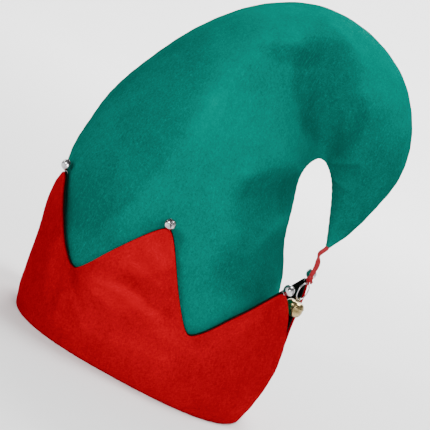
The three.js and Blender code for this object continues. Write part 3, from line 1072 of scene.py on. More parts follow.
@dataclass(frozen=True)
class MetalFinish:
    """Thin stamped metal: bright with dull tarnish, faint dents and fine scratches."""

    name: str
    bright: Colour
    dull: Colour
    gloss: float
    tarnish: float
    dents: float = 0.00006
    stain_scale: float = 260.0
    dent_scale: float = 520.0
    speck_scale: float = 1800.0

    def make(self) -> bpy.types.Material:
        """Builds the material.

        Returns:
            The material.
        """
        surface = Surface.start(self.name)
        sheet, place = surface.sheet, surface.place
        stain = sheet.noise(place, self.stain_scale, 4, 0.6, 0.6)
        speck = sheet.noise(place, self.speck_scale, 3, 0.6)
        dent = sheet.noise(place, self.dent_scale, 2, 0.5)
        scratch = sheet.noise(surface.stretched((20, 35, 10), (6000, 6000, 420)), 1, 2, 0.5, 0.4)
        spread = sheet.wire("ShaderNodeMapRange", 0, {}, {0: stain, 1: 0.42, 2: 0.68, 3: 0.0, 4: 1.0})
        surface.set(
            Base_Color=sheet.blend(spread * self.tarnish, (*self.bright, 1), (*self.dull, 1)),
            Metallic=1.0,
            Roughness=self.gloss + spread * 0.16 + (speck - 0.5) * 0.1 + (scratch - 0.5) * 0.12,
        )
        surface.bump(dent * 0.8 + scratch * 0.12 + speck * 0.1, self.dents, 0.6)
        return surface.material


@dataclass(frozen=True)
class RibbonFinish:
    """Narrow satin ribbon with fine ribs across it."""

    name: str
    shade: Colour
    light: Colour
    rib_size: float = 0.00035
    cloud_scale: float = 320.0
    rib_depth: float = 0.00012

    def make(self) -> bpy.types.Material:
        """Builds the material.

        Returns:
            The material.
        """
        surface = Surface.start(self.name)
        sheet, place = surface.sheet, surface.place
        ribs = sheet.wire(
            "ShaderNodeTexWave",
            1,
            {"wave_type": "BANDS", "bands_direction": "Z"},
            {"Vector": place, "Scale": 1 / (self.rib_size * 6.0), "Distortion": 0.6, "Detail": 1.0},
        )
        clouds = sheet.noise(place, self.cloud_scale, 3, 0.6)
        threads = sheet.noise(surface.stretched((0, 0, 0), (5200, 5200, 700)), 1, 2, 0.5)
        shade = clouds * 0.7 + ribs * 0.2 + (threads - 0.5) * 0.5
        surface.set(
            Base_Color=sheet.blend(shade, (*self.shade, 1), (*self.light, 1)),
            Roughness=0.42 + (threads - 0.5) * 0.25,
            Sheen_Weight=0.05,
            Sheen_Roughness=0.35,
            Specular_IOR_Level=0.2,
        )
        surface.bump(ribs * 0.6 + threads * 0.5, self.rib_depth, 0.6)
        return surface.material


@dataclass(frozen=True)
class ThreadFinish:
    """Sewing thread, two plies with a soft gloss."""

    name: str
    shade: Colour
    dark: Colour
    ply_depth: float = 0.00008

    def make(self) -> bpy.types.Material:
        """Builds the material.

        Returns:
            The material.
        """
        surface = Surface.start(self.name)
        sheet = surface.sheet
        plies = sheet.noise(surface.stretched((0, 30, 20), (9000, 9000, 3000)), 1, 2, 0.5)
        surface.set(
            Base_Color=sheet.blend(plies, (*self.dark, 1), (*self.shade, 1)),
            Roughness=0.6 + (plies - 0.5) * 0.3,
            Specular_IOR_Level=0.3,
        )
        surface.bump(plies, self.ply_depth, 0.6)
        return surface.material


@dataclass(frozen=True)
class PaperFinish:
    """The plain pale sweep that the hat stands on."""

    name: str
    shade: Colour

    def make(self) -> bpy.types.Material:
        """Builds the material.

        Returns:
            The material.
        """
        surface = Surface.start(self.name)
        clouds = surface.sheet.noise(surface.place, 3, 2)
        pale = tuple(min(1.0, value * 1.02) for value in self.shade)
        surface.set(
            Base_Color=surface.sheet.blend(clouds, (*self.shade, 1), (*pale, 1)),
            Roughness=0.95,
            Specular_IOR_Level=0.1,
        )
        return surface.material


@dataclass(frozen=True)
class Finishes:
    """The finishes of the hat's pieces."""

    green: FeltFinish = FeltFinish(
        "green felt", (0.0, 0.060, 0.046), (0.0, 0.150, 0.115), (0.0, 0.27, 0.21)
    )
    red: FeltFinish = FeltFinish(
        "red felt", (0.15, 0.0, 0.0028), (0.34, 0.0, 0.0068), (0.42, 0.003, 0.011)
    )
    dark: FeltFinish = FeltFinish(
        "dark felt", (0.003, 0.003, 0.0022), (0.010, 0.009, 0.008), (0.03, 0.028, 0.026), 0.05
    )
    silver: MetalFinish = MetalFinish("silver plate", (0.56, 0.55, 0.56), (0.13, 0.12, 0.13), 0.13, 0.6)
    steel: MetalFinish = MetalFinish("steel ball", (0.52, 0.52, 0.53), (0.20, 0.20, 0.20), 0.3, 0.6)
    wire: MetalFinish = MetalFinish("steel wire", (0.46, 0.42, 0.43), (0.16, 0.12, 0.13), 0.2, 0.6)
    brass: MetalFinish = MetalFinish("brass", (0.38, 0.29, 0.13), (0.06, 0.045, 0.018), 0.18, 0.8)
    ribbon: RibbonFinish = RibbonFinish("red ribbon", (0.17, 0.0, 0.003), (0.32, 0.0, 0.009))
    thread: ThreadFinish = ThreadFinish("pale thread", (0.50, 0.45, 0.44), (0.26, 0.20, 0.20))
    red_thread: ThreadFinish = ThreadFinish("red thread", (0.5, 0.02, 0.02), (0.25, 0.005, 0.005))


# Geometry Nodes


@dataclass(frozen=True)
class NodeMaker:
    """A Geometry Nodes tree with named inputs, and what runs it on a mesh."""

    sheet: NodeSheet

    @classmethod
    def start(cls, name: str, inputs: Mapping[str, tuple[str, object]]) -> "NodeMaker":
        """Makes an empty tree with a geometry input and output and named inputs.

        Args:
            name: The tree's name.
            inputs: Socket type and default value by input name.

        Returns:
            The maker.
        """
        tree = bpy.data.node_groups.new(name, "GeometryNodeTree")
        tree.interface.new_socket("Geometry", in_out="INPUT", socket_type="NodeSocketGeometry")
        for label, (kind, value) in inputs.items():
            socket = tree.interface.new_socket(label, in_out="INPUT", socket_type=kind)
            if value is not None:
                socket.default_value = value
        tree.interface.new_socket("Geometry", in_out="OUTPUT", socket_type="NodeSocketGeometry")
        return cls(NodeSheet(tree))

    def inputs(self) -> dict[str, Wire]:
        """The tree's inputs by name."""
        node = self.sheet.add("NodeGroupInput")
        return {socket.name: Wire(self.sheet, socket) for socket in node.outputs if socket.name}

    def repeat(self, material: Wire, **sockets: Wire) -> "NodeMaker":
        """Ends the tree: a shape on each point, made real, then the material.

        Args:
            material: The material.
            sockets: The points, the shape as Instance, and its Rotation and Scale.

        Returns:
            This maker.
        """
        shapes = self.sheet.wire("GeometryNodeInstanceOnPoints", 0, {}, sockets)
        real = self.sheet.wire("GeometryNodeRealizeInstances", 0, {}, {"Geometry": shapes})
        dressed = self.sheet.wire("GeometryNodeSetMaterial", 0, {}, {"Geometry": real, "Material": material})
        self.sheet.add("NodeGroupOutput", {}, {"Geometry": dressed})
        return self

    def run(self, base: bpy.types.Mesh, name: str, values: Mapping[str, object]) -> bpy.types.Mesh:
        """Runs the tree on a mesh.

        Args:
            base: The mesh that it starts from.
            name: The new mesh's name.
            values: Values of the inputs by name.

        Returns:
            A plain mesh.
        """
        carrier = add_object(name, base)
        modifier = carrier.modifiers.new(name, "NODES")
        modifier.node_group = self.sheet.tree
        for item in self.sheet.tree.interface.items_tree:
            if item.item_type == "SOCKET" and item.in_out == "INPUT" and item.name in values:
                modifier[item.identifier] = values[item.name]
        made = evaluated_mesh(carrier)
        made.name = name
        carrier.modifiers.clear()
        bpy.data.objects.remove(carrier)
        return made


def thread_maker() -> NodeMaker:
    """Loops of thread side by side: each goes through a shank and over the felt's edge.

    Returns:
        The maker of the tree.
    """
    maker = NodeMaker.start("thread loops", {
        "Loops": ("NodeSocketInt", 4),
        "Half width": ("NodeSocketFloat", 0.002),
        "Half height": ("NodeSocketFloat", 0.0024),
        "Gauge": ("NodeSocketFloat", 0.00022),
        "Spread": ("NodeSocketFloat", 0.0006),
        "Seed": ("NodeSocketInt", 0),
        "Material": ("NodeSocketMaterial", None),
    })
    sheet, given = maker.sheet, maker.inputs()
    circle = "GeometryNodeCurvePrimitiveCircle"
    oval = sheet.wire(circle, "Curve", {}, {"Resolution": 24, "Radius": 1.0})
    size = sheet.vector(given["Half width"], given["Half height"], 1.0)
    shaped = sheet.wire("GeometryNodeTransform", 0, {}, {"Geometry": oval, "Scale": size})
    stood = {"Geometry": shaped, "Rotation": (math.pi / 2, 0, 0)}
    upright = sheet.wire("GeometryNodeTransform", 0, {}, stood)
    section = sheet.wire(circle, "Curve", {}, {"Resolution": 6, "Radius": given["Gauge"]})
    loop = sheet.wire("GeometryNodeCurveToMesh", 0, {}, {"Curve": upright, "Profile Curve": section})
    start = sheet.vector(y=given["Spread"] * -1)
    offset = sheet.vector(y=given["Spread"] * 2 / 3)
    line = {"Count": given["Loops"], "Start Location": start, "Offset": offset}
    row = sheet.wire("GeometryNodeMeshLine", 0, {}, line)
    turn = sheet.chance((-0.12, -0.1, -0.5), (0.12, 0.1, 0.5), given["Seed"])
    scale = sheet.chance(0.88, 1.06, given["Seed"])
    return maker.repeat(given["Material"], Points=row, Instance=loop, Rotation=turn, Scale=scale)


def fuzz_maker() -> NodeMaker:
    """Loose fibres that stand a little off a felt face.

    Returns:
        The maker of the tree.
    """
    maker = NodeMaker.start("felt fuzz", {
        "Density": ("NodeSocketFloat", 20000.0),
        "Length": ("NodeSocketFloat", 0.0022),
        "Gauge": ("NodeSocketFloat", 0.00004),
        "Clear of floor": ("NodeSocketFloat", 0.003),
        "Seed": ("NodeSocketInt", 0),
        "Material": ("NodeSocketMaterial", None),
    })
    sheet, given = maker.sheet, maker.inputs()
    height = sheet.wire("ShaderNodeSeparateXYZ", 2, {}, {0: sheet.wire("GeometryNodeInputPosition")})
    above = sheet.wire(
        "FunctionNodeCompare", 0, {"data_type": "FLOAT", "operation": "GREATER_THAN"},
        {0: height, 1: given["Clear of floor"]},
    )
    scatter = sheet.add(
        "GeometryNodeDistributePointsOnFaces", {"distribute_method": "RANDOM"},
        {"Mesh": given["Geometry"], "Selection": above, "Density": given["Density"], "Seed": given["Seed"]},
    )
    middle = sheet.vector(given["Length"] * 0.18, z=given["Length"] * 0.55)
    end = sheet.vector(given["Length"] * 0.75, z=given["Length"] * 0.7)
    bend = sheet.wire(
        "GeometryNodeCurveQuadraticBezier", 0, {},
        {"Resolution": 3, "Start": (0, 0, 0), "Middle": middle, "End": end},
    )
    circle = {"Resolution": 3, "Radius": given["Gauge"]}
    section = sheet.wire("GeometryNodeCurvePrimitiveCircle", "Curve", {}, circle)
    hair = sheet.wire("GeometryNodeCurveToMesh", 0, {}, {"Curve": bend, "Profile Curve": section})
    lean = sheet.chance((-0.9, -0.9, -3.14), (0.9, 0.9, 3.14), given["Seed"])
    turned = sheet.wire(
        "FunctionNodeRotateRotation", 0, {"rotation_space": "LOCAL"},
        {0: Wire(sheet, scatter.outputs["Rotation"]), 1: lean},
    )
    scale = sheet.chance(0.5, 1.3, given["Seed"])
    dots = Wire(sheet, scatter.outputs["Points"])
    return maker.repeat(given["Material"], Points=dots, Instance=hair, Rotation=turned, Scale=scale)


def stitch_maker() -> NodeMaker:
    """A row of running stitches along a line of edges.

    Returns:
        The maker of the tree.
    """
    maker = NodeMaker.start("running stitches", {
        "Spacing": ("NodeSocketFloat", 0.0045),
        "Length": ("NodeSocketFloat", 0.0028),
        "Gauge": ("NodeSocketFloat", 0.0003),
        "Material": ("NodeSocketMaterial", None),
    })
    sheet, given = maker.sheet, maker.inputs()
    line = sheet.wire("GeometryNodeMeshToCurve", 0, {}, {"Mesh": given["Geometry"]})
    dots = sheet.wire(
        "GeometryNodeResampleCurve", 0, {"mode": "LENGTH"}, {"Curve": line, "Length": given["Spacing"]}
    )
    size = sheet.vector(given["Gauge"], given["Gauge"], given["Length"] * 0.5)
    bead = sheet.wire("GeometryNodeMeshUVSphere", 0, {}, {"Segments": 8, "Rings": 6, "Radius": 1.0})
    stitch = sheet.wire("GeometryNodeTransform", 0, {}, {"Geometry": bead, "Scale": size})
    way = sheet.wire("GeometryNodeInputTangent")
    turned = sheet.wire("FunctionNodeAlignRotationToVector", 0, {"axis": "Z"}, {"Vector": way})
    return maker.repeat(given["Material"], Points=dots, Instance=stitch, Rotation=turned)


# The rim that the crown, the cuff and its lining share


@dataclass(frozen=True)
class Rim:
    """The oval that the hat stands on, and how the cuff rises and flares from it."""

    length: float = 0.209
    depth: float = 0.176
    squareness: float = 2.5
    point_height: float = 0.127
    notch_height: float = 0.059
    point_rounding: float = 0.0044
    felt_wall: float = 0.0018
    clearance: float = 0.0003
    lean_power: float = 1.4
    relief_stand: float = 0.0009
    relief_start: float = 0.018
    steps: int = 26

    @property
    def floor(self) -> float:
        """Height of what stands on the fold inside the rim."""
        return self.felt_wall + self.clearance

    def oval(self, height: np.ndarray) -> tuple[np.ndarray, np.ndarray, np.ndarray]:
        """Centre, half length and half depth of the cuff's outer face at heights.

        Args:
            height: The heights.

        Returns:
            The three, one value for each height.
        """
        share = np.asarray(height, float) / self.point_height
        centre = table_column(CUFF_FLARE, "height", "centre", share) * self.length / 2
        length = table_column(CUFF_FLARE, "height", "length", share) * self.length / 2
        depth = table_column(CUFF_FLARE, "height", "depth", share) * self.depth / 2
        return centre, length, depth

    def place(self, angle: np.ndarray, height: np.ndarray, inset: np.ndarray | float) -> np.ndarray:
        """Points of a layer of the cuff.

        Args:
            angle: Angles in degrees, clockwise seen from above.
            height: Heights.
            inset: Distance inward from the outer face.

        Returns:
            Points, with three coordinates last.
        """
        centre, length, depth = self.oval(height)
        turn = np.radians(angle)
        reach = oval_reach(turn, self.squareness)
        x = centre + (length - inset) * reach * np.cos(turn)
        y = -(depth - inset) * reach * np.sin(turn)
        return np.stack(np.broadcast_arrays(x, y, height), axis=-1)

    def rise(self, share: np.ndarray, radius: float) -> np.ndarray:
        """A straight rise from 0 to 1 whose two ends are rounded.

        Args:
            share: Places from 0 to 1.
            radius: Radius of the rounding, as a share of the run.

        Returns:
            Values from 0 to 1.
        """
        full = math.hypot(1, radius) - radius
        low = (np.hypot(share, radius) - radius) / full
        high = 1 - (np.hypot(1 - share, radius) - radius) / full
        return low + (high - low) * smooth_step(0, 1, share)

    def columns(self) -> tuple[np.ndarray, np.ndarray, np.ndarray]:
        """Angle, top height and outward lean of each column round the cuff.

        Returns:
            The three, one value for each column.
        """
        angles, tops, leans = [], [], []
        step = np.arange(self.steps) / self.steps
        spaced = 0.5 - 0.5 * np.cos(math.pi * step)
        for index, point in enumerate(CUFF_POINTS):
            before = CUFF_POINTS[index - 1]
            sides = (
                (before.notch_angle, before.notch, spaced, 1),
                (point.notch_angle, point.notch, 1 - spaced, -1),
            )
            for notch_angle, notch, share, sign in sides:
                swing = abs((notch_angle - point.angle + 180) % 360 - 180)
                width = math.radians(swing) * math.sqrt(self.length * self.depth) / 2
                low = notch * self.notch_height
                high = point.tip * self.point_height
                angles.append(point.angle + sign * swing * (1 - share))
                tops.append(low + (high - low) * self.rise(share, self.point_rounding / width))
                leans.append(np.full(self.steps, point.lean * self.length / 2))
        return np.concatenate(angles), np.concatenate(tops), np.concatenate(leans)

    def lean_share(self, height: np.ndarray) -> np.ndarray:
        """How much of its outward lean a point has at heights."""
        span = self.point_height - self.notch_height
        return np.clip((np.asarray(height) - self.notch_height) / span, 0, 1) ** self.lean_power

    def relief(self, angle: np.ndarray, height: np.ndarray) -> np.ndarray:
        """How far the cuff's soft creases stand out at angles and heights.

        Args:
            angle: Angles in degrees.
            height: Heights.

        Returns:
            Lifts in metres.
        """
        flat = self.place(angle, height, 0.0)
        total = sum(crease.relief(flat) for crease in CUFF_CREASES)
        total = total + rolling(flat, CUFF_ROLLS) + self.relief_stand
        return total * smooth_step(0.0, self.relief_start, height)


# The crown


@dataclass(frozen=True)
class Crown:
    """The green felt body, from the rim over the bend to the drooping tip."""

    rim: Rim
    felt: bpy.types.Material
    height: float = 0.33
    inset: float = 0.00396
    back_share: float = 0.8
    sides: int = 224
    foot_rings: int = 20
    free_rings: int = 190
    inner_rings: int = 48
    hollow_end: float = 0.925
    seam_depth: float = 0.0008
    seam_width: float = 0.0012
    seam_reach: float = 0.01
    welt_lift: float = 0.00044
    welt_place: float = 0.0036
    welt_width: float = 0.0022
    pucker_length: float = 0.011
    pucker_lift: float = 0.00012
    pucker_reach: float = 0.009
    tip_fade: int = 12

    def foot(self, share: np.ndarray, extra: float) -> dict[str, np.ndarray]:
        """Level sections inside the cuff.

        Args:
            share: Heights as shares of the way from the rim's floor to the point height.
            extra: Distance inward from the crown's outer face.

        Returns:
            The sections, by column.
        """
        floor = self.rim.floor
        height = floor + (self.rim.point_height - floor) * share
        centre, length, depth = self.rim.oval(height)
        off = {
            side: np.maximum(table_column(CROWN_FOOT, "height", side, share), 0) * self.rim.length / 2
            for side in ("left", "right", "front")
        }
        inset = self.inset + extra
        out_x = centre - length + inset + off["left"]
        in_x = centre + length - inset - off["right"]
        zero = np.zeros_like(height)
        return {
            "out": np.stack([out_x, zero, height], axis=1),
            "into": np.stack([in_x, zero, height], axis=1),
            "depth": depth - inset - off["front"],
            "belly": (centre - out_x) / (in_x - out_x),
            "pinch": zero + 1,
            "square": zero + self.rim.squareness,
            "along": zero - 1,
        }

    def free(self, along: np.ndarray, extra: float) -> dict[str, np.ndarray]:
        """Sections of the free crown.

        Args:
            along: Places from 0 at the top of the foot to 1 at the tip.
            extra: Distance inward from the crown's outer face.

        Returns:
            The sections, by column.
        """
        footing = self.foot(np.array([0.86, 1.0]) * CROWN_FOOT[-1].height, 0)
        half = self.rim.length / 2
        outer_ends = [(row.out_x * half, 0, row.out_z * self.height) for row in CROWN_SECTIONS]
        inner_ends = [(row.in_x * half, 0, row.in_z * self.height) for row in CROWN_SECTIONS]
        out = np.vstack([footing["out"], outer_ends])
        into = np.vstack([footing["into"], inner_ends])
        column = {
            name: np.concatenate([footing[name], [getattr(row, name) for row in CROWN_SECTIONS]])
            for name in ("belly", "pinch", "square")
        }
        column["depth"] = np.concatenate([
            footing["depth"], [row.depth * self.rim.depth / 2 for row in CROWN_SECTIONS]
        ])
        keys = np.arange(len(out), dtype=float)
        place = 1 + along * (len(out) - 2)
        outer, inner = edge_curve(out, place), edge_curve(into, place)
        across = inner - outer
        across *= extra / np.linalg.norm(across, axis=1, keepdims=True)
        read = {name: smooth_value(keys, values, place) for name, values in column.items()}
        read["depth"] = read["depth"] - extra
        return {"out": outer + across, "into": inner - across, "along": along, **read}

    def fold_lift(self, along: np.ndarray, across: np.ndarray) -> np.ndarray:
        """Outward lift of the dents and ridges at places of the free crown.

        Args:
            along: Places along the crown.
            across: Places from its outer edge to its inner one.

        Returns:
            Lifts in metres.
        """
        total = np.zeros(np.broadcast(along, across).shape)
        for fold in CROWN_FOLDS:
            down = (along - fold.along) / fold.run
            over = (across - fold.across) / fold.spread
            total += fold.lift * self.rim.depth / 2 * np.exp(-down * down - over * over)
        return total

    def rings(self, sections: Mapping[str, np.ndarray]) -> np.ndarray:
        """The points round sections, closer together at the two seams.

        Args:
            sections: Sections by column.

        Returns:
            Points by ring and by place round the ring.
        """
        step = np.arange(self.sides) / self.sides
        turn = 2 * math.pi * (step - 0.72 * np.sin(4 * math.pi * step) / (4 * math.pi))
        column = {name: sections[name][:, None] for name in ("depth", "belly", "pinch", "square", "along")}
        oval = oval_reach(turn[None, :], column["square"])
        reach = np.where(np.cos(turn)[None, :] > 0, column["belly"], 1 - column["belly"])
        across = column["belly"] - reach * oval * np.cos(turn)[None, :]
        chord = (sections["into"] - sections["out"])[:, None, :]
        points = sections["out"][:, None, :] + chord * across[..., None]
        bulge = oval * np.abs(np.sin(turn))[None, :] ** column["pinch"]
        front = np.sin(turn)[None, :] > 0
        lift = np.where(column["along"] < 0, 0.0, self.fold_lift(column["along"], across)) * bulge
        depth = column["depth"] * bulge + lift * np.where(front, 1.0, self.back_share)
        points[..., 1] = np.where(front, -depth, depth)
        return points

    def dressed(self, rings: np.ndarray) -> np.ndarray:
        """Gives the outer face its rolling surface and its two sewn seams.

        Args:
            rings: Points of the outer face.

        Returns:
            The points, moved along the face's normals.
        """
        normals = net_normals(rings)
        spans = np.linalg.norm(np.roll(rings, -1, axis=1) - rings, axis=2)
        total = spans.sum(axis=1, keepdims=True)
        run = np.cumsum(spans, axis=1) - spans
        half = np.sum(spans[:, : self.sides // 2], axis=1, keepdims=True)
        from_seam = np.minimum(np.minimum(run, total - run), np.abs(run - half))
        groove = -self.seam_depth * np.exp(-((from_seam / self.seam_width) ** 2))
        welt = self.welt_lift * np.exp(-(((from_seam - self.welt_place) / self.welt_width) ** 2))
        middle = (rings[:, 0] + rings[:, self.sides // 2]) / 2
        along = np.concatenate([[0], np.cumsum(np.linalg.norm(np.diff(middle, axis=0), axis=1))])
        pucker = np.sin(2 * math.pi * along / self.pucker_length + 2.3 * np.sin(along / 0.031))[:, None]
        ripple = self.pucker_lift * pucker * np.exp(-((from_seam / self.pucker_reach) ** 2))
        soft = rolling(rings, CROWN_ROLLS) + sum(crease.relief(rings) for crease in CROWN_CREASES)
        fade = smooth_step(0, self.tip_fade, np.arange(len(rings))[::-1].astype(float))[:, None]
        lift = (groove + welt + ripple + soft * smooth_step(0.0, self.seam_reach, from_seam)) * fade
        return rings + normals * lift[..., None]

    def form(self) -> Form:
        """The crown's wall: the inner face from its blind end to the rim, then the outer face to the tip.

        Returns:
            A closed form.
        """
        foot_end = CROWN_FOOT[-1].height
        shares = np.linspace(0, foot_end, self.foot_rings, endpoint=False)
        outer = np.vstack([
            self.rings(self.foot(shares, 0)),
            self.rings(self.free(np.linspace(0, 1, self.free_rings), 0)),
        ])
        inner = np.vstack([
            self.rings(self.foot(shares[::2], self.rim.felt_wall)),
            self.rings(self.free(np.linspace(0, self.hollow_end, self.inner_rings), self.rim.felt_wall)),
        ])
        return Form.net(np.vstack([inner[::-1], self.dressed(outer)]))

    def build(self) -> bpy.types.Object:
        """Makes the crown."""
        # The crown's colour carries painted shade and highlight from its patches and its creases.
        mesh = self.form().with_painted_shade("crown", CROWN_PAINTED_SHADE, CROWN_CREASES)
        return finish_piece(mesh, "crown_felt", self.felt, Body.HAT, Slot.GREEN_FELT, ["crown"])


# The cuff and its lining


@dataclass(frozen=True)
class Cuff:
    """The red band cut into points, folded under the rim, with its dark lining."""

    rim: Rim
    felt: bpy.types.Material
    dark: bpy.types.Material
    lining_wall: float = 0.001
    # How far the dark lining stands past the red cut edge: a dark line along the points' edges, partly lining
    # and partly painted edge shadow.
    lining_peek_and_edge_shadow: float = 0.0009
    leg_inset: float = 0.0066
    hem_height: float = 0.012
    fold_radius: float = 0.0024
    edge_round: float = 0.00035
    band_rows: int = 30
    point_rows: int = 40
    band_top: float = 0.38

    def heights(self, tops: np.ndarray, trim: float) -> np.ndarray:
        """Heights of the rows of a face, by row and column, ending a little under each column's top.

        Args:
            tops: Height of each column's cut edge.
            trim: How far under it the last row is.

        Returns:
            The heights.
        """
        floor = self.rim.floor
        band = floor + (self.rim.point_height - floor) * self.band_top
        low = np.linspace(floor + 0.0008, band, self.band_rows)[:, None] + 0 * tops[None, :]
        share = np.linspace(0, 1, self.point_rows + 1)[1:, None]
        return np.vstack([low, band + (tops - trim - band)[None, :] * share])

    def face(self, inset: float, trim: float) -> np.ndarray:
        """Rings of one face, from the floor of the rim up to the cut edge.

        Args:
            inset: Distance inward from the cuff's outer face.
            trim: How far under the cut edge the face ends.

        Returns:
            Points by row and by column.
        """
        angles, tops, leans = self.rim.columns()
        heights = self.heights(tops, trim)
        lean = leans[None, :] * self.rim.lean_share(heights) + self.rim.relief(angles[None, :], heights)
        return self.rim.place(angles[None, :], heights, inset - lean)

    def level(self, inset: float, height: float) -> np.ndarray:
        """One ring at a height."""
        angles, tops, _ = self.rim.columns()
        return self.rim.place(angles, np.full(len(tops), height), inset)[None]

    def corner(self, inset: float, start: float, sign: float) -> list[np.ndarray]:
        """The rounded corner under one side of the fold.

        Args:
            inset: Inset of the face that the corner ends at.
            start: Angle in degrees that it starts at, 0 level and 90 upright.
            sign: 1 for the outer side, -1 for the inner one.

        Returns:
            Its rings, in order.
        """
        turns = np.radians(np.linspace(start, 90 - start, 5))
        radius = self.fold_radius
        return [
            self.level(inset + sign * radius * (1 - math.sin(turn)), radius * (1 - math.cos(turn)))
            for turn in turns
        ]

    def band(self) -> Form:
        """The red felt: outer face, cut edge, inner face, the fold's floor and the turned-up hem.

        Returns:
            A closed form.
        """
        wall, soft = self.rim.felt_wall, self.edge_round
        leg_inner = self.leg_inset + wall
        rings = [
            *self.corner(0.0, 0, 1),
            self.face(0.0, soft * 1.6),
            self.face(soft, 0.0)[-1:],
            self.face(wall - soft, 0.0)[-1:],
            self.face(wall, soft * 1.6)[::-1],
            self.level(wall, wall),
            self.level(self.leg_inset, wall),
            self.level(self.leg_inset, self.hem_height - soft),
            self.level(self.leg_inset + soft, self.hem_height),
            self.level(leg_inner - soft, self.hem_height),
            self.level(leg_inner, self.hem_height - soft),
            *self.corner(leg_inner, 90, -1),
        ]
        return Form.net(np.vstack(rings), looped=True)

    def lining(self) -> Form:
        """The dark layer behind the band; its top stands past the red cut edge as a dark line, partly lining
        and partly painted edge shadow.

        Returns:
            A closed form.
        """
        outer = self.rim.felt_wall + self.rim.clearance
        soft = self.edge_round * 0.6
        # The lining's top stands past the red edge as a dark line that is partly painted edge shadow.
        top = -self.lining_peek_and_edge_shadow
        rings = [
            self.face(outer, top + soft)[:-1],
            self.face(outer + soft * 0.3, top)[-1:],
            self.face(outer + self.lining_wall - soft * 0.3, top)[-1:],
            self.face(outer + self.lining_wall, top + soft)[::-1][1:],
        ]
        return Form.net(np.vstack(rings), looped=True)

    def build(self) -> list[bpy.types.Object]:
        """Makes the band and the lining.

        Returns:
            The two pieces.
        """
        return [
            finish_piece(
                # The band's colour carries painted shade and highlight from its patches and its creases.
                self.band().with_painted_shade("cuff", CUFF_PAINTED_SHADE, CUFF_CREASES, 60.0),
                "cuff_felt",
                self.felt,
                Body.HAT,
                Slot.RED_FELT,
                ["cuff"],
            ),
            finish_piece(
                self.lining(), "cuff_lining_felt", self.dark, Body.HAT, Slot.DARK_FELT, ["cuff_lining"]
            ),
        ]


@dataclass(frozen=True)
class HemStitches:
    """The stitches that hold the turned-up hem, on its inner side."""

    rim: Rim
    thread: bpy.types.Material
    height: float = 0.0095
    inset: float = 0.00845
    steps: int = 240
    spacing: float = 0.0048
    length: float = 0.003
    gauge: float = 0.00028

    def build(self) -> bpy.types.Object:
        """Makes the row of stitches.

        Returns:
            The piece.
        """
        count = self.steps
        angles = np.linspace(0, 360, count, endpoint=False)
        points = self.rim.place(angles, np.full(count, self.height), self.inset)
        line = bpy.data.meshes.new("hem line")
        line.from_pydata(points.tolist(), [(step, (step + 1) % count) for step in range(count)], [])
        values = {
            "Spacing": self.spacing, "Length": self.length, "Gauge": self.gauge, "Material": self.thread,
        }
        mesh = stitch_maker().run(line, "hem_stitches", values)
        return finish_piece(mesh, "hem_stitches", self.thread, Body.HAT, Slot.RED_FELT)


@dataclass(frozen=True)
class FeltFuzz:
    """Loose fibres on the felt, thin enough to soften its outline."""

    green: bpy.types.Material
    red: bpy.types.Material
    length: float = 0.0017
    gauge: float = 0.00003

    def build(self, crown: bpy.types.Object, cuff: bpy.types.Object) -> list[bpy.types.Object]:
        """Scatters the fibres.

        Args:
            crown: The finished crown.
            cuff: The finished cuff.

        Returns:
            The two pieces of fuzz.
        """
        maker = fuzz_maker()
        made = []
        rows = (
            (crown, "crown_fuzz", self.green, Slot.GREEN_FELT, 14000.0, 11),
            (cuff, "cuff_fuzz", self.red, Slot.RED_FELT, 22000.0, 12),
        )
        for base, name, material, slot, density, seed in rows:
            values = {
                "Density": density, "Length": self.length, "Gauge": self.gauge, "Seed": seed,
                "Material": material,
            }
            mesh = maker.run(base.data.copy(), name, values)
            made.append(finish_piece(mesh, name, material, Body.HAT, slot))
        return made


# The small bells on the points


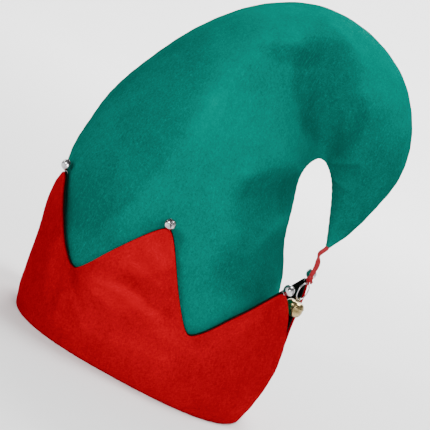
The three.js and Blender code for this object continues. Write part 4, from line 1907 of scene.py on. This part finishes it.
@dataclass(frozen=True)
class PointBells:
    """The small jingle bells sewn on the points, each with its pellet and its thread."""

    rim: Rim
    silver: bpy.types.Material
    steel: bpy.types.Material
    thread: bpy.types.Material
    diameter: float = 0.0094
    wall: float = 0.0005
    slot: float = 0.0011
    hole: float = 0.00095
    shank: float = 0.0026
    shank_wire: float = 0.0008
    shank_show: float = 0.001
    pellet: float = 0.0024
    seam_lift: float = 0.00016
    thread_loops: int = 4
    thread_halves: tuple[float, float] = (0.0017, 0.0019)
    thread_gauge: float = 0.00017
    thread_spread: float = 0.0005
    thread_sunk: float = 0.0005

    @property
    def centre(self) -> float:
        """Height of the ball's centre over the shank's foot."""
        return self.shank_show + self.diameter / 2

    def ball(self, radius: float, seam: float) -> Form:
        """A ball about the bell's centre."""
        return Form.ball(radius, self.centre, 40, 56, seam)

    def shell(self) -> Form:
        """The bell along +Z, with its slots at the far side and its shank at the origin.

        Returns:
            The bell's form.
        """
        radius = self.diameter / 2
        hollow = self.ball(radius - self.wall, 0.0).flipped()
        reach = radius * 0.74
        top = self.centre + radius * 1.2
        start = self.centre + radius * 0.28
        cutters = [
            Form.block((-reach, -self.slot / 2, start), (reach, self.slot / 2, top)),
            Form.block((-self.slot / 2, -reach, start), (self.slot / 2, reach, top)),
        ]
        post = [(0.0, start), (self.hole, start), (self.hole, top), (0.0, top)]
        for x, y in ((reach, 0), (-reach, 0), (0, reach), (0, -reach)):
            cutters.append(Form.lathe(post, 20).moved(Matrix.Translation((x, y, 0))))
        shell = self.ball(radius - self.seam_lift, self.seam_lift).joined(hollow).without(*cutters)
        ring = (self.shank - self.shank_wire) / 2
        path = round_path(32, (ring, 0, 0), (0, 0, ring)) + np.array((0, 0, self.shank / 2))
        return shell.joined(Form.tube(path, self.shank_wire, self.shank_wire, looped=True))

    def pellet_ball(self) -> Form:
        """The loose pellet, at rest on the low side of the hollow."""
        low = self.centre - self.diameter / 2 + self.wall + self.rim.clearance
        return Form.ball(self.pellet / 2, low + self.pellet / 2, 16, 24)

    def build(self) -> list[bpy.types.Object]:
        """Makes the bells, their pellets and their threads.

        Returns:
            The pieces.
        """
        shell, pellet, maker = self.shell(), self.pellet_ball(), thread_maker()
        made = []
        for number, point in enumerate(CUFF_POINTS, 1):
            tip = np.array(point.tip * self.rim.point_height)
            lean = point.lean * self.rim.length / 2 * self.rim.lean_share(tip)
            seat = Vector(self.rim.place(np.array(point.angle), tip, self.rim.felt_wall / 2 - lean))
            outward = math.atan2(seat.y, seat.x)
            tilt = Matrix.Rotation(math.radians(point.bell_tilt), 4, "Y")
            stand = Matrix.Translation(seat + Vector((0, 0, 2 * self.rim.clearance)))
            stand = stand @ Matrix.Rotation(outward, 4, "Z") @ tilt
            spin = stand @ Matrix.Rotation(math.radians(point.bell_turn), 4, "Z")
            made.append(finish_piece(
                shell.moved(spin), f"point_bell_{number}", self.silver, Body.HAT, Slot.SILVER_BELL,
                [f"cuff_bell_{number}"], 38,
            ))
            made.append(finish_piece(
                pellet.moved(stand), f"point_bell_pellet_{number}", self.steel, Body.HAT,
                Slot.STEEL_PELLET, [f"cuff_bell_pellet_{number}"],
            ))
            base = bpy.data.meshes.new("thread start")
            values = {
                "Loops": self.thread_loops, "Half width": self.thread_halves[0],
                "Half height": self.thread_halves[1], "Gauge": self.thread_gauge,
                "Spread": self.thread_spread, "Seed": number, "Material": self.thread,
            }
            mesh = maker.run(base, f"point_thread_{number}", values)
            foot = Matrix.Translation(seat - Vector((0, 0, self.thread_sunk)))
            mesh.transform(foot @ Matrix.Rotation(outward, 4, "Z"))
            made.append(finish_piece(mesh, f"point_thread_{number}", self.thread, Body.HAT, Slot.SILVER_BELL))
        return made


# The drop from the tip


@dataclass(frozen=True)
class RouteStep:
    """A step of the ribbon's route: sideways shift in metres and share of the way down."""

    x: float
    y: float
    down: float


RIBBON_ROUTE = (
    RouteStep(0.0, 0.0, 0.0),
    RouteStep(-0.0003, 0.0, 0.07),
    RouteStep(-0.0013, -0.0002, 0.14),
    RouteStep(-0.0024, -0.0004, 0.21),
    RouteStep(-0.0029, -0.0005, 0.28),
    RouteStep(-0.0026, -0.0004, 0.35),
    RouteStep(-0.0017, -0.0002, 0.42),
    RouteStep(-0.0009, 0.0, 0.49),
    RouteStep(-0.0004, 0.0001, 0.56),
    RouteStep(-0.0002, 0.0001, 0.63),
    RouteStep(-0.0002, 0.0001, 0.7),
    RouteStep(-0.0003, 0.0, 0.77),
    RouteStep(-0.0003, 0.0, 0.84),
    RouteStep(-0.0002, 0.0, 0.92),
    RouteStep(0.0, 0.0, 1.0),
)

DROP_BELL_PROFILE = (
    (0.0, 1.0), (0.3, 0.995), (0.55, 0.975), (0.72, 0.94), (0.84, 0.885), (0.91, 0.82), (0.95, 0.75),
    (0.965, 0.715), (1.0, 0.695), (1.012, 0.665), (1.0, 0.635), (0.972, 0.615), (0.975, 0.56),
    (0.985, 0.48), (0.985, 0.4), (0.965, 0.32), (0.925, 0.24), (0.85, 0.16), (0.74, 0.095),
    (0.58, 0.045), (0.38, 0.015), (0.18, 0.002), (0.0, 0.0),
)


@dataclass(frozen=True)
class Drop:
    """What hangs from the tip: the doubled ribbon with its knot, the ring and the brass bell."""

    ribbon: bpy.types.Material
    wire: bpy.types.Material
    brass: bpy.types.Material
    steel: bpy.types.Material
    tip: tuple[float, float] = (0.09849, 0.16038)
    drop_length: float = 0.035
    clearance: float = 0.0003
    ribbon_width: float = 0.0045
    strand_width: float = 0.0028
    strand_thick: float = 0.0007
    knot: tuple[float, float, float] = (0.006, 0.0048, 0.005)
    knot_margin: tuple[float, float, float] = (0.0016, 0.0016, 0.0014)
    knot_strand: tuple[float, float] = (0.0020, 0.0014)
    knot_core: tuple[float, float] = (0.0019, 0.0021)
    tail_strand: tuple[float, float] = (0.0021, 0.0005)
    loop_strand: tuple[float, float] = (0.0007, 0.0021)
    loop_wire: float = 0.0009
    ring_diameter: float = 0.0164
    ring_wire: float = 0.0011
    ring_turn: float = 57.0
    ring_gap: float = 1.6
    bell_diameter: float = 0.0166
    bell_height: float = 0.0134
    bell_wall: float = 0.0007
    bell_slot: float = 0.0016
    bell_slot_height: float = 0.0042
    bell_hole: float = 0.0014
    below: float = 0.001
    eye_wire: float = 0.0009
    eye_sunk: float = 0.0004
    pellet: float = 0.004

    @property
    def ring_top(self) -> float:
        """Height of the middle of the ring's wire at its top."""
        return self.tip[1] - self.drop_length

    @property
    def ring_radius(self) -> float:
        """Radius of the middle of the ring's wire."""
        return (self.ring_diameter - self.ring_wire) / 2

    @property
    def ring_bottom(self) -> float:
        """Height of the middle of the ring's wire at its bottom, where the bell turns."""
        return self.ring_top - 2 * self.ring_radius

    @property
    def loop_radius(self) -> float:
        """Radius of the ribbon's small loop round the ring's wire."""
        return self.ring_wire / 2 + self.clearance + self.loop_wire

    @property
    def knot_height(self) -> float:
        """Height of the knot's middle."""
        return self.ring_top + self.loop_radius + self.knot[2] / 2

    def turned(self, x: float, z: float) -> Matrix:
        """A place under the tip, turned as the ring is."""
        return Matrix.Translation((x, 0, z)) @ Matrix.Rotation(math.radians(self.ring_turn), 4, "Z")

    def route(self, count: int) -> np.ndarray:
        """The ribbon's centreline, from the tip to the knot.

        Args:
            count: How many points it has.

        Returns:
            The points, one a row.
        """
        start = self.tip[1] - self.clearance
        fall = self.knot_height - start
        steps = np.array([(self.tip[0] + step.x, step.y, start + fall * step.down) for step in RIBBON_ROUTE])
        return edge_curve(steps, np.linspace(0, len(steps) - 1, count))

    def strands(self, path: np.ndarray) -> Form:
        """The two strands side by side, half turned at a third of the way down.

        Args:
            path: The ribbon's centreline.

        Returns:
            Both strands.
        """
        share = np.linspace(0, 1, len(path))
        twist = math.radians(12) + 0.95 * np.exp(-(((share - 0.37) / 0.1) ** 2)) + 0.2 * np.sin(share * 9)
        belly = np.sin(np.pi * np.clip(share * 1.06 + 0.02, 0, 1)) ** 0.5
        apart = (self.ribbon_width - self.strand_width) / 2 * (0.35 + 0.65 * belly)
        across = np.stack([np.cos(twist), np.sin(twist), 0 * twist], axis=1)
        forms = []
        for sign, shift in ((1, 0.0), (-1, 0.35)):
            middle = path + sign * across * apart[:, None]
            turns = -twist + shift * np.sin(share * 7)
            forms.append(Form.tube(middle, self.strand_width, self.strand_thick, turns, 16, square=3.0))
        return forms[0].joined(forms[1])

    def knot_form(self) -> Form:
        """The knot: a flat strand wound over itself, its short ends and the loop round the ring.

        Returns:
            The knot's form.
        """
        turn = np.linspace(0, 2 * math.pi, 90, endpoint=False)
        trefoil = np.stack([
            np.sin(turn) + 2 * np.sin(2 * turn), np.cos(turn) - 2 * np.cos(2 * turn), -np.sin(3 * turn) * 1.6
        ], axis=1)
        room = np.array(self.knot) - np.array(self.knot_margin)
        size = room / (trefoil.max(axis=0) - trefoil.min(axis=0))
        twist = 0.4 * np.sin(2 * turn)
        wound = Form.tube(trefoil * size, *self.knot_strand, twist, 16, looped=True, square=2.3)
        wide, high = self.knot_core
        core = Form.lathe([
            (math.sin(step) * wide, -math.cos(step) * high) for step in np.linspace(0.0, math.pi, 13)
        ], 20)
        place = self.turned(self.tip[0], self.knot_height)
        tails = []
        for way, drop in ((0.0024, -0.0016), (0.0019, -0.0028)):
            run = np.linspace(0, 1, 9)
            path = np.stack([
                0.0008 + way * run, -0.0006 - 0.0008 * run, drop * run * run - 0.0004
            ], axis=1)
            tails.append(Form.tube(path, *self.tail_strand, 0.5 * run, 12, square=3.2))
        half = self.loop_radius - self.loop_wire / 2
        loop = round_path(40, (0, half, 0), (0, 0, half * 1.05))
        band = Form.tube(loop, *self.loop_strand, math.pi / 2, 12, looped=True, square=2.8)
        lower = self.turned(self.tip[0], self.ring_top)
        tail_place = Matrix.Translation((self.tip[0], 0, self.knot_height))
        return wound.moved(place).joined(
            core.moved(place), *(tail.moved(tail_place) for tail in tails), band.moved(lower)
        )

    def ring_form(self) -> Form:
        """The wire ring, with the small gap where its ends meet.

        Returns:
            The ring's form.
        """
        opening = math.radians(self.ring_gap)
        turn = np.linspace(opening, 2 * math.pi - opening, 120)
        radius = self.ring_radius
        path = np.stack([radius * np.cos(turn + 0.5), 0 * turn, radius * np.sin(turn + 0.5)], axis=1)
        ring = Form.tube(path, self.ring_wire, self.ring_wire, sides=16)
        return ring.moved(self.turned(self.tip[0], self.ring_top - radius))

    def bell_outline(self, inset: float) -> list[tuple[float, float]]:
        """The bell's half profile under its eye, moved inward by an inset.

        Args:
            inset: The inset; 0 is the outer face.

        Returns:
            Radius and height of each point.
        """
        radius = self.bell_diameter / 2 / 1.012
        top = self.eye_sunk - self.eye_radius - self.eye_wire / 2
        return [
            (
                max(radius * (min(across, 0.985) if inset else across) - (inset if across > 0 else 0), 0.0),
                top - self.bell_height + inset + (self.bell_height - 2 * inset) * up,
            )
            for across, up in DROP_BELL_PROFILE
        ]

    @property
    def eye_radius(self) -> float:
        """Radius of the middle of the eye's wire."""
        return self.ring_wire / 2 + self.clearance + self.eye_wire / 2

    def bell_form(self) -> Form:
        """The bell with its eye, its crimped seam and the slot in its bottom.

        Returns:
            The bell's form.
        """
        outer = Form.lathe(self.bell_outline(0.0), 72)
        hollow = Form.lathe(self.bell_outline(self.bell_wall), 48).flipped()
        bottom = self.bell_outline(0.0)[-1][1]
        reach, top = self.bell_diameter * 0.36, bottom + self.bell_slot_height
        half, hole, start = self.bell_slot / 2, self.bell_hole, bottom - self.below
        cutters = [Form.block((-half, -reach, start), (half, reach, top))]
        post = [(0.0, start), (hole, start), (hole, top), (0.0, top)]
        cutters += [Form.lathe(post, 24).moved(Matrix.Translation((0, y, 0))) for y in (reach, -reach)]
        shell = outer.joined(hollow).without(*cutters)
        path = round_path(36, (0, self.eye_radius, 0), (0, 0, self.eye_radius))
        return shell.joined(Form.tube(path, self.eye_wire, self.eye_wire, looped=True))

    def pellet_form(self) -> Form:
        """The bell's loose pellet."""
        bottom = self.bell_outline(0.0)[-1][1] + self.bell_wall + self.clearance
        return Form.ball(self.pellet / 2, bottom + self.pellet / 2, 18, 28)

    def build(self) -> list[bpy.types.Object]:
        """Makes the drop, its ribbon among its pieces.

        Returns:
            The pieces.
        """
        path = self.route(64)
        ribbon = finish_piece(
            self.strands(path), "ribbon_strands", self.ribbon, Body.HAT, Slot.RED_RIBBON, ["ribbon"]
        )
        knot = finish_piece(self.knot_form(), "ribbon_knot", self.ribbon, Body.HAT, Slot.RED_RIBBON)
        ring = finish_piece(
            self.ring_form(), "drop_ring_wire", self.wire, Body.HAT, Slot.STEEL_RING, ["drop_ring"]
        )
        hang = self.turned(self.tip[0], self.ring_bottom)
        bell = finish_piece(
            self.bell_form().moved(hang), "drop_bell_brass", self.brass, Body.DROP, Slot.BRASS_BELL,
            ["drop_bell"], 38,
        )
        pellet = finish_piece(
            self.pellet_form().moved(hang), "drop_bell_pellet_ball", self.steel, Body.DROP,
            Slot.STEEL_PELLET, ["drop_bell_pellet"],
        )
        tuple(path[0])
        return [ribbon, knot, ring, bell, pellet]


# The studio


@dataclass(frozen=True)
class Softbox:
    """An area light: where it stands, what it faces, its size and its power in watts."""

    name: str
    place: tuple[float, float, float]
    aim: tuple[float, float, float]
    size: float
    power: float

    def build(self) -> bpy.types.Object:
        """Makes the light.

        Returns:
            The light's object.
        """
        data = bpy.data.lights.new(self.name, "AREA")
        data.shape = "DISK"
        data.size = self.size
        data.energy = self.power
        light = add_object(self.name, data)
        light.location = self.place
        light.rotation_euler = (Vector(self.aim) - Vector(self.place)).to_track_quat("-Z", "Y").to_euler()
        return light


@dataclass(frozen=True)
class Studio:
    """The pale sweep, the lights and the camera at the photograph's angle to the hat."""

    paper: bpy.types.Material
    target: tuple[float, float, float] = (0.005, 0.0, 0.1388)
    distance: float = 1.35
    elevation: float = 8.0
    roll: float = 28.5
    view_degrees: float = 14.89
    floor_radius: float = 2.2
    sweep_radius: float = 0.8
    wall_height: float = 1.4
    sky: float = 0.25
    boxes: tuple[Softbox, ...] = field(default=(
        Softbox("key", (-0.9, -1.15, 0.85), (0.0, 0.0, 0.16), 0.14, 17.0),
        Softbox("fill", (0.35, -1.4, 0.5), (0.0, 0.0, 0.16), 0.5, 12.0),
        Softbox("top", (0.55, 0.1, 1.5), (0.0, 0.0, 0.1), 0.7, 25.0),
        Softbox("floor", (0.2, 2.0, 1.9), (0.1, 1.6, 0.0), 1.6, 120.0),
    ))

    def camera(self) -> bpy.types.Object:
        """Makes the camera, pitched down and rolled as in the photograph.

        Returns:
            The camera's object.
        """
        pitch = math.radians(self.elevation)
        back = Vector((0, -math.cos(pitch), math.sin(pitch)))
        data = bpy.data.cameras.new("camera")
        data.sensor_width = 36.0
        data.lens = data.sensor_width / 2 / math.tan(math.radians(self.view_degrees / 2))
        data.clip_start = 0.05
        camera = add_object("camera", data)
        camera.rotation_mode = "QUATERNION"
        level = (-back).to_track_quat("-Z", "Y").to_matrix().to_4x4()
        camera.matrix_world = (
            Matrix.Translation(Vector(self.target) + back * self.distance)
            @ level
            @ Matrix.Rotation(math.radians(self.roll), 4, "Z")
        )
        bpy.context.scene.camera = camera
        return camera

    def sweep(self) -> bpy.types.Object:
        """Makes the floor that curves up into a low wall all round.

        Returns:
            The floor's object.
        """
        turns = np.linspace(0, math.pi / 2, 13)
        flat = self.floor_radius
        profile = [(flat * share, 0.0) for share in (0.0, 0.1, 0.35, 0.7)]
        bend = self.sweep_radius
        profile += [(flat + bend * math.sin(turn), bend * (1 - math.cos(turn))) for turn in turns]
        profile.append((flat + self.sweep_radius, self.wall_height))
        sides = 96
        turn = np.arange(sides) * 2 * math.pi / sides
        rings = [
            np.stack([radius * np.cos(turn), radius * np.sin(turn), np.full(sides, height)], axis=1)
            for radius, height in profile[1:]
        ]
        vertices = np.vstack([np.zeros((1, 3)), *rings])
        faces = [(0, 1 + (side + 1) % sides, 1 + side)[::-1] for side in range(sides)]
        for ring in range(len(rings) - 1):
            for side in range(sides):
                low, high = 1 + ring * sides, 1 + (ring + 1) * sides
                after = (side + 1) % sides
                faces.append((low + side, high + side, high + after, low + after))
        mesh = bpy.data.meshes.new("sweep")
        mesh.from_pydata(vertices.tolist(), [], faces)
        mesh.materials.append(self.paper)
        mesh.shade_smooth()
        sweep = add_object("sweep", mesh)
        return sweep

    def build(self) -> None:
        """Makes the floor, the lights, the sky and the camera."""
        self.camera()
        self.sweep()
        for box in self.boxes:
            box.build()
        world = bpy.data.worlds.new("sky")
        world.use_nodes = True
        world.node_tree.nodes.clear()
        sheet = NodeSheet(world.node_tree)
        glow = sheet.wire("ShaderNodeBackground", 0, {}, {"Color": (1, 1, 1, 1), "Strength": self.sky})
        sheet.add("ShaderNodeOutputWorld", {}, {"Surface": glow})
        bpy.context.scene.world = world


def main() -> None:
    """Builds the studio and the hat's pieces."""
    logging.basicConfig(level=logging.INFO, format="%(name)s %(message)s")
    looks = Finishes()
    rim = Rim()
    green, red, dark = looks.green.make(), looks.red.make(), looks.dark.make()
    steel, thread = looks.steel.make(), looks.thread.make()
    Studio(PaperFinish("pale paper", (0.9, 0.9, 0.9)).make()).build()
    Drop(looks.ribbon.make(), looks.wire.make(), looks.brass.make(), steel).build()
    crown = Crown(rim, green).build()
    cuff, _ = Cuff(rim, red, dark).build()
    HemStitches(rim, looks.red_thread.make()).build()
    FeltFuzz(green, red).build(crown, cuff)
    PointBells(rim, looks.silver.make(), steel, thread).build()


if __name__ == "__main__":
    main()
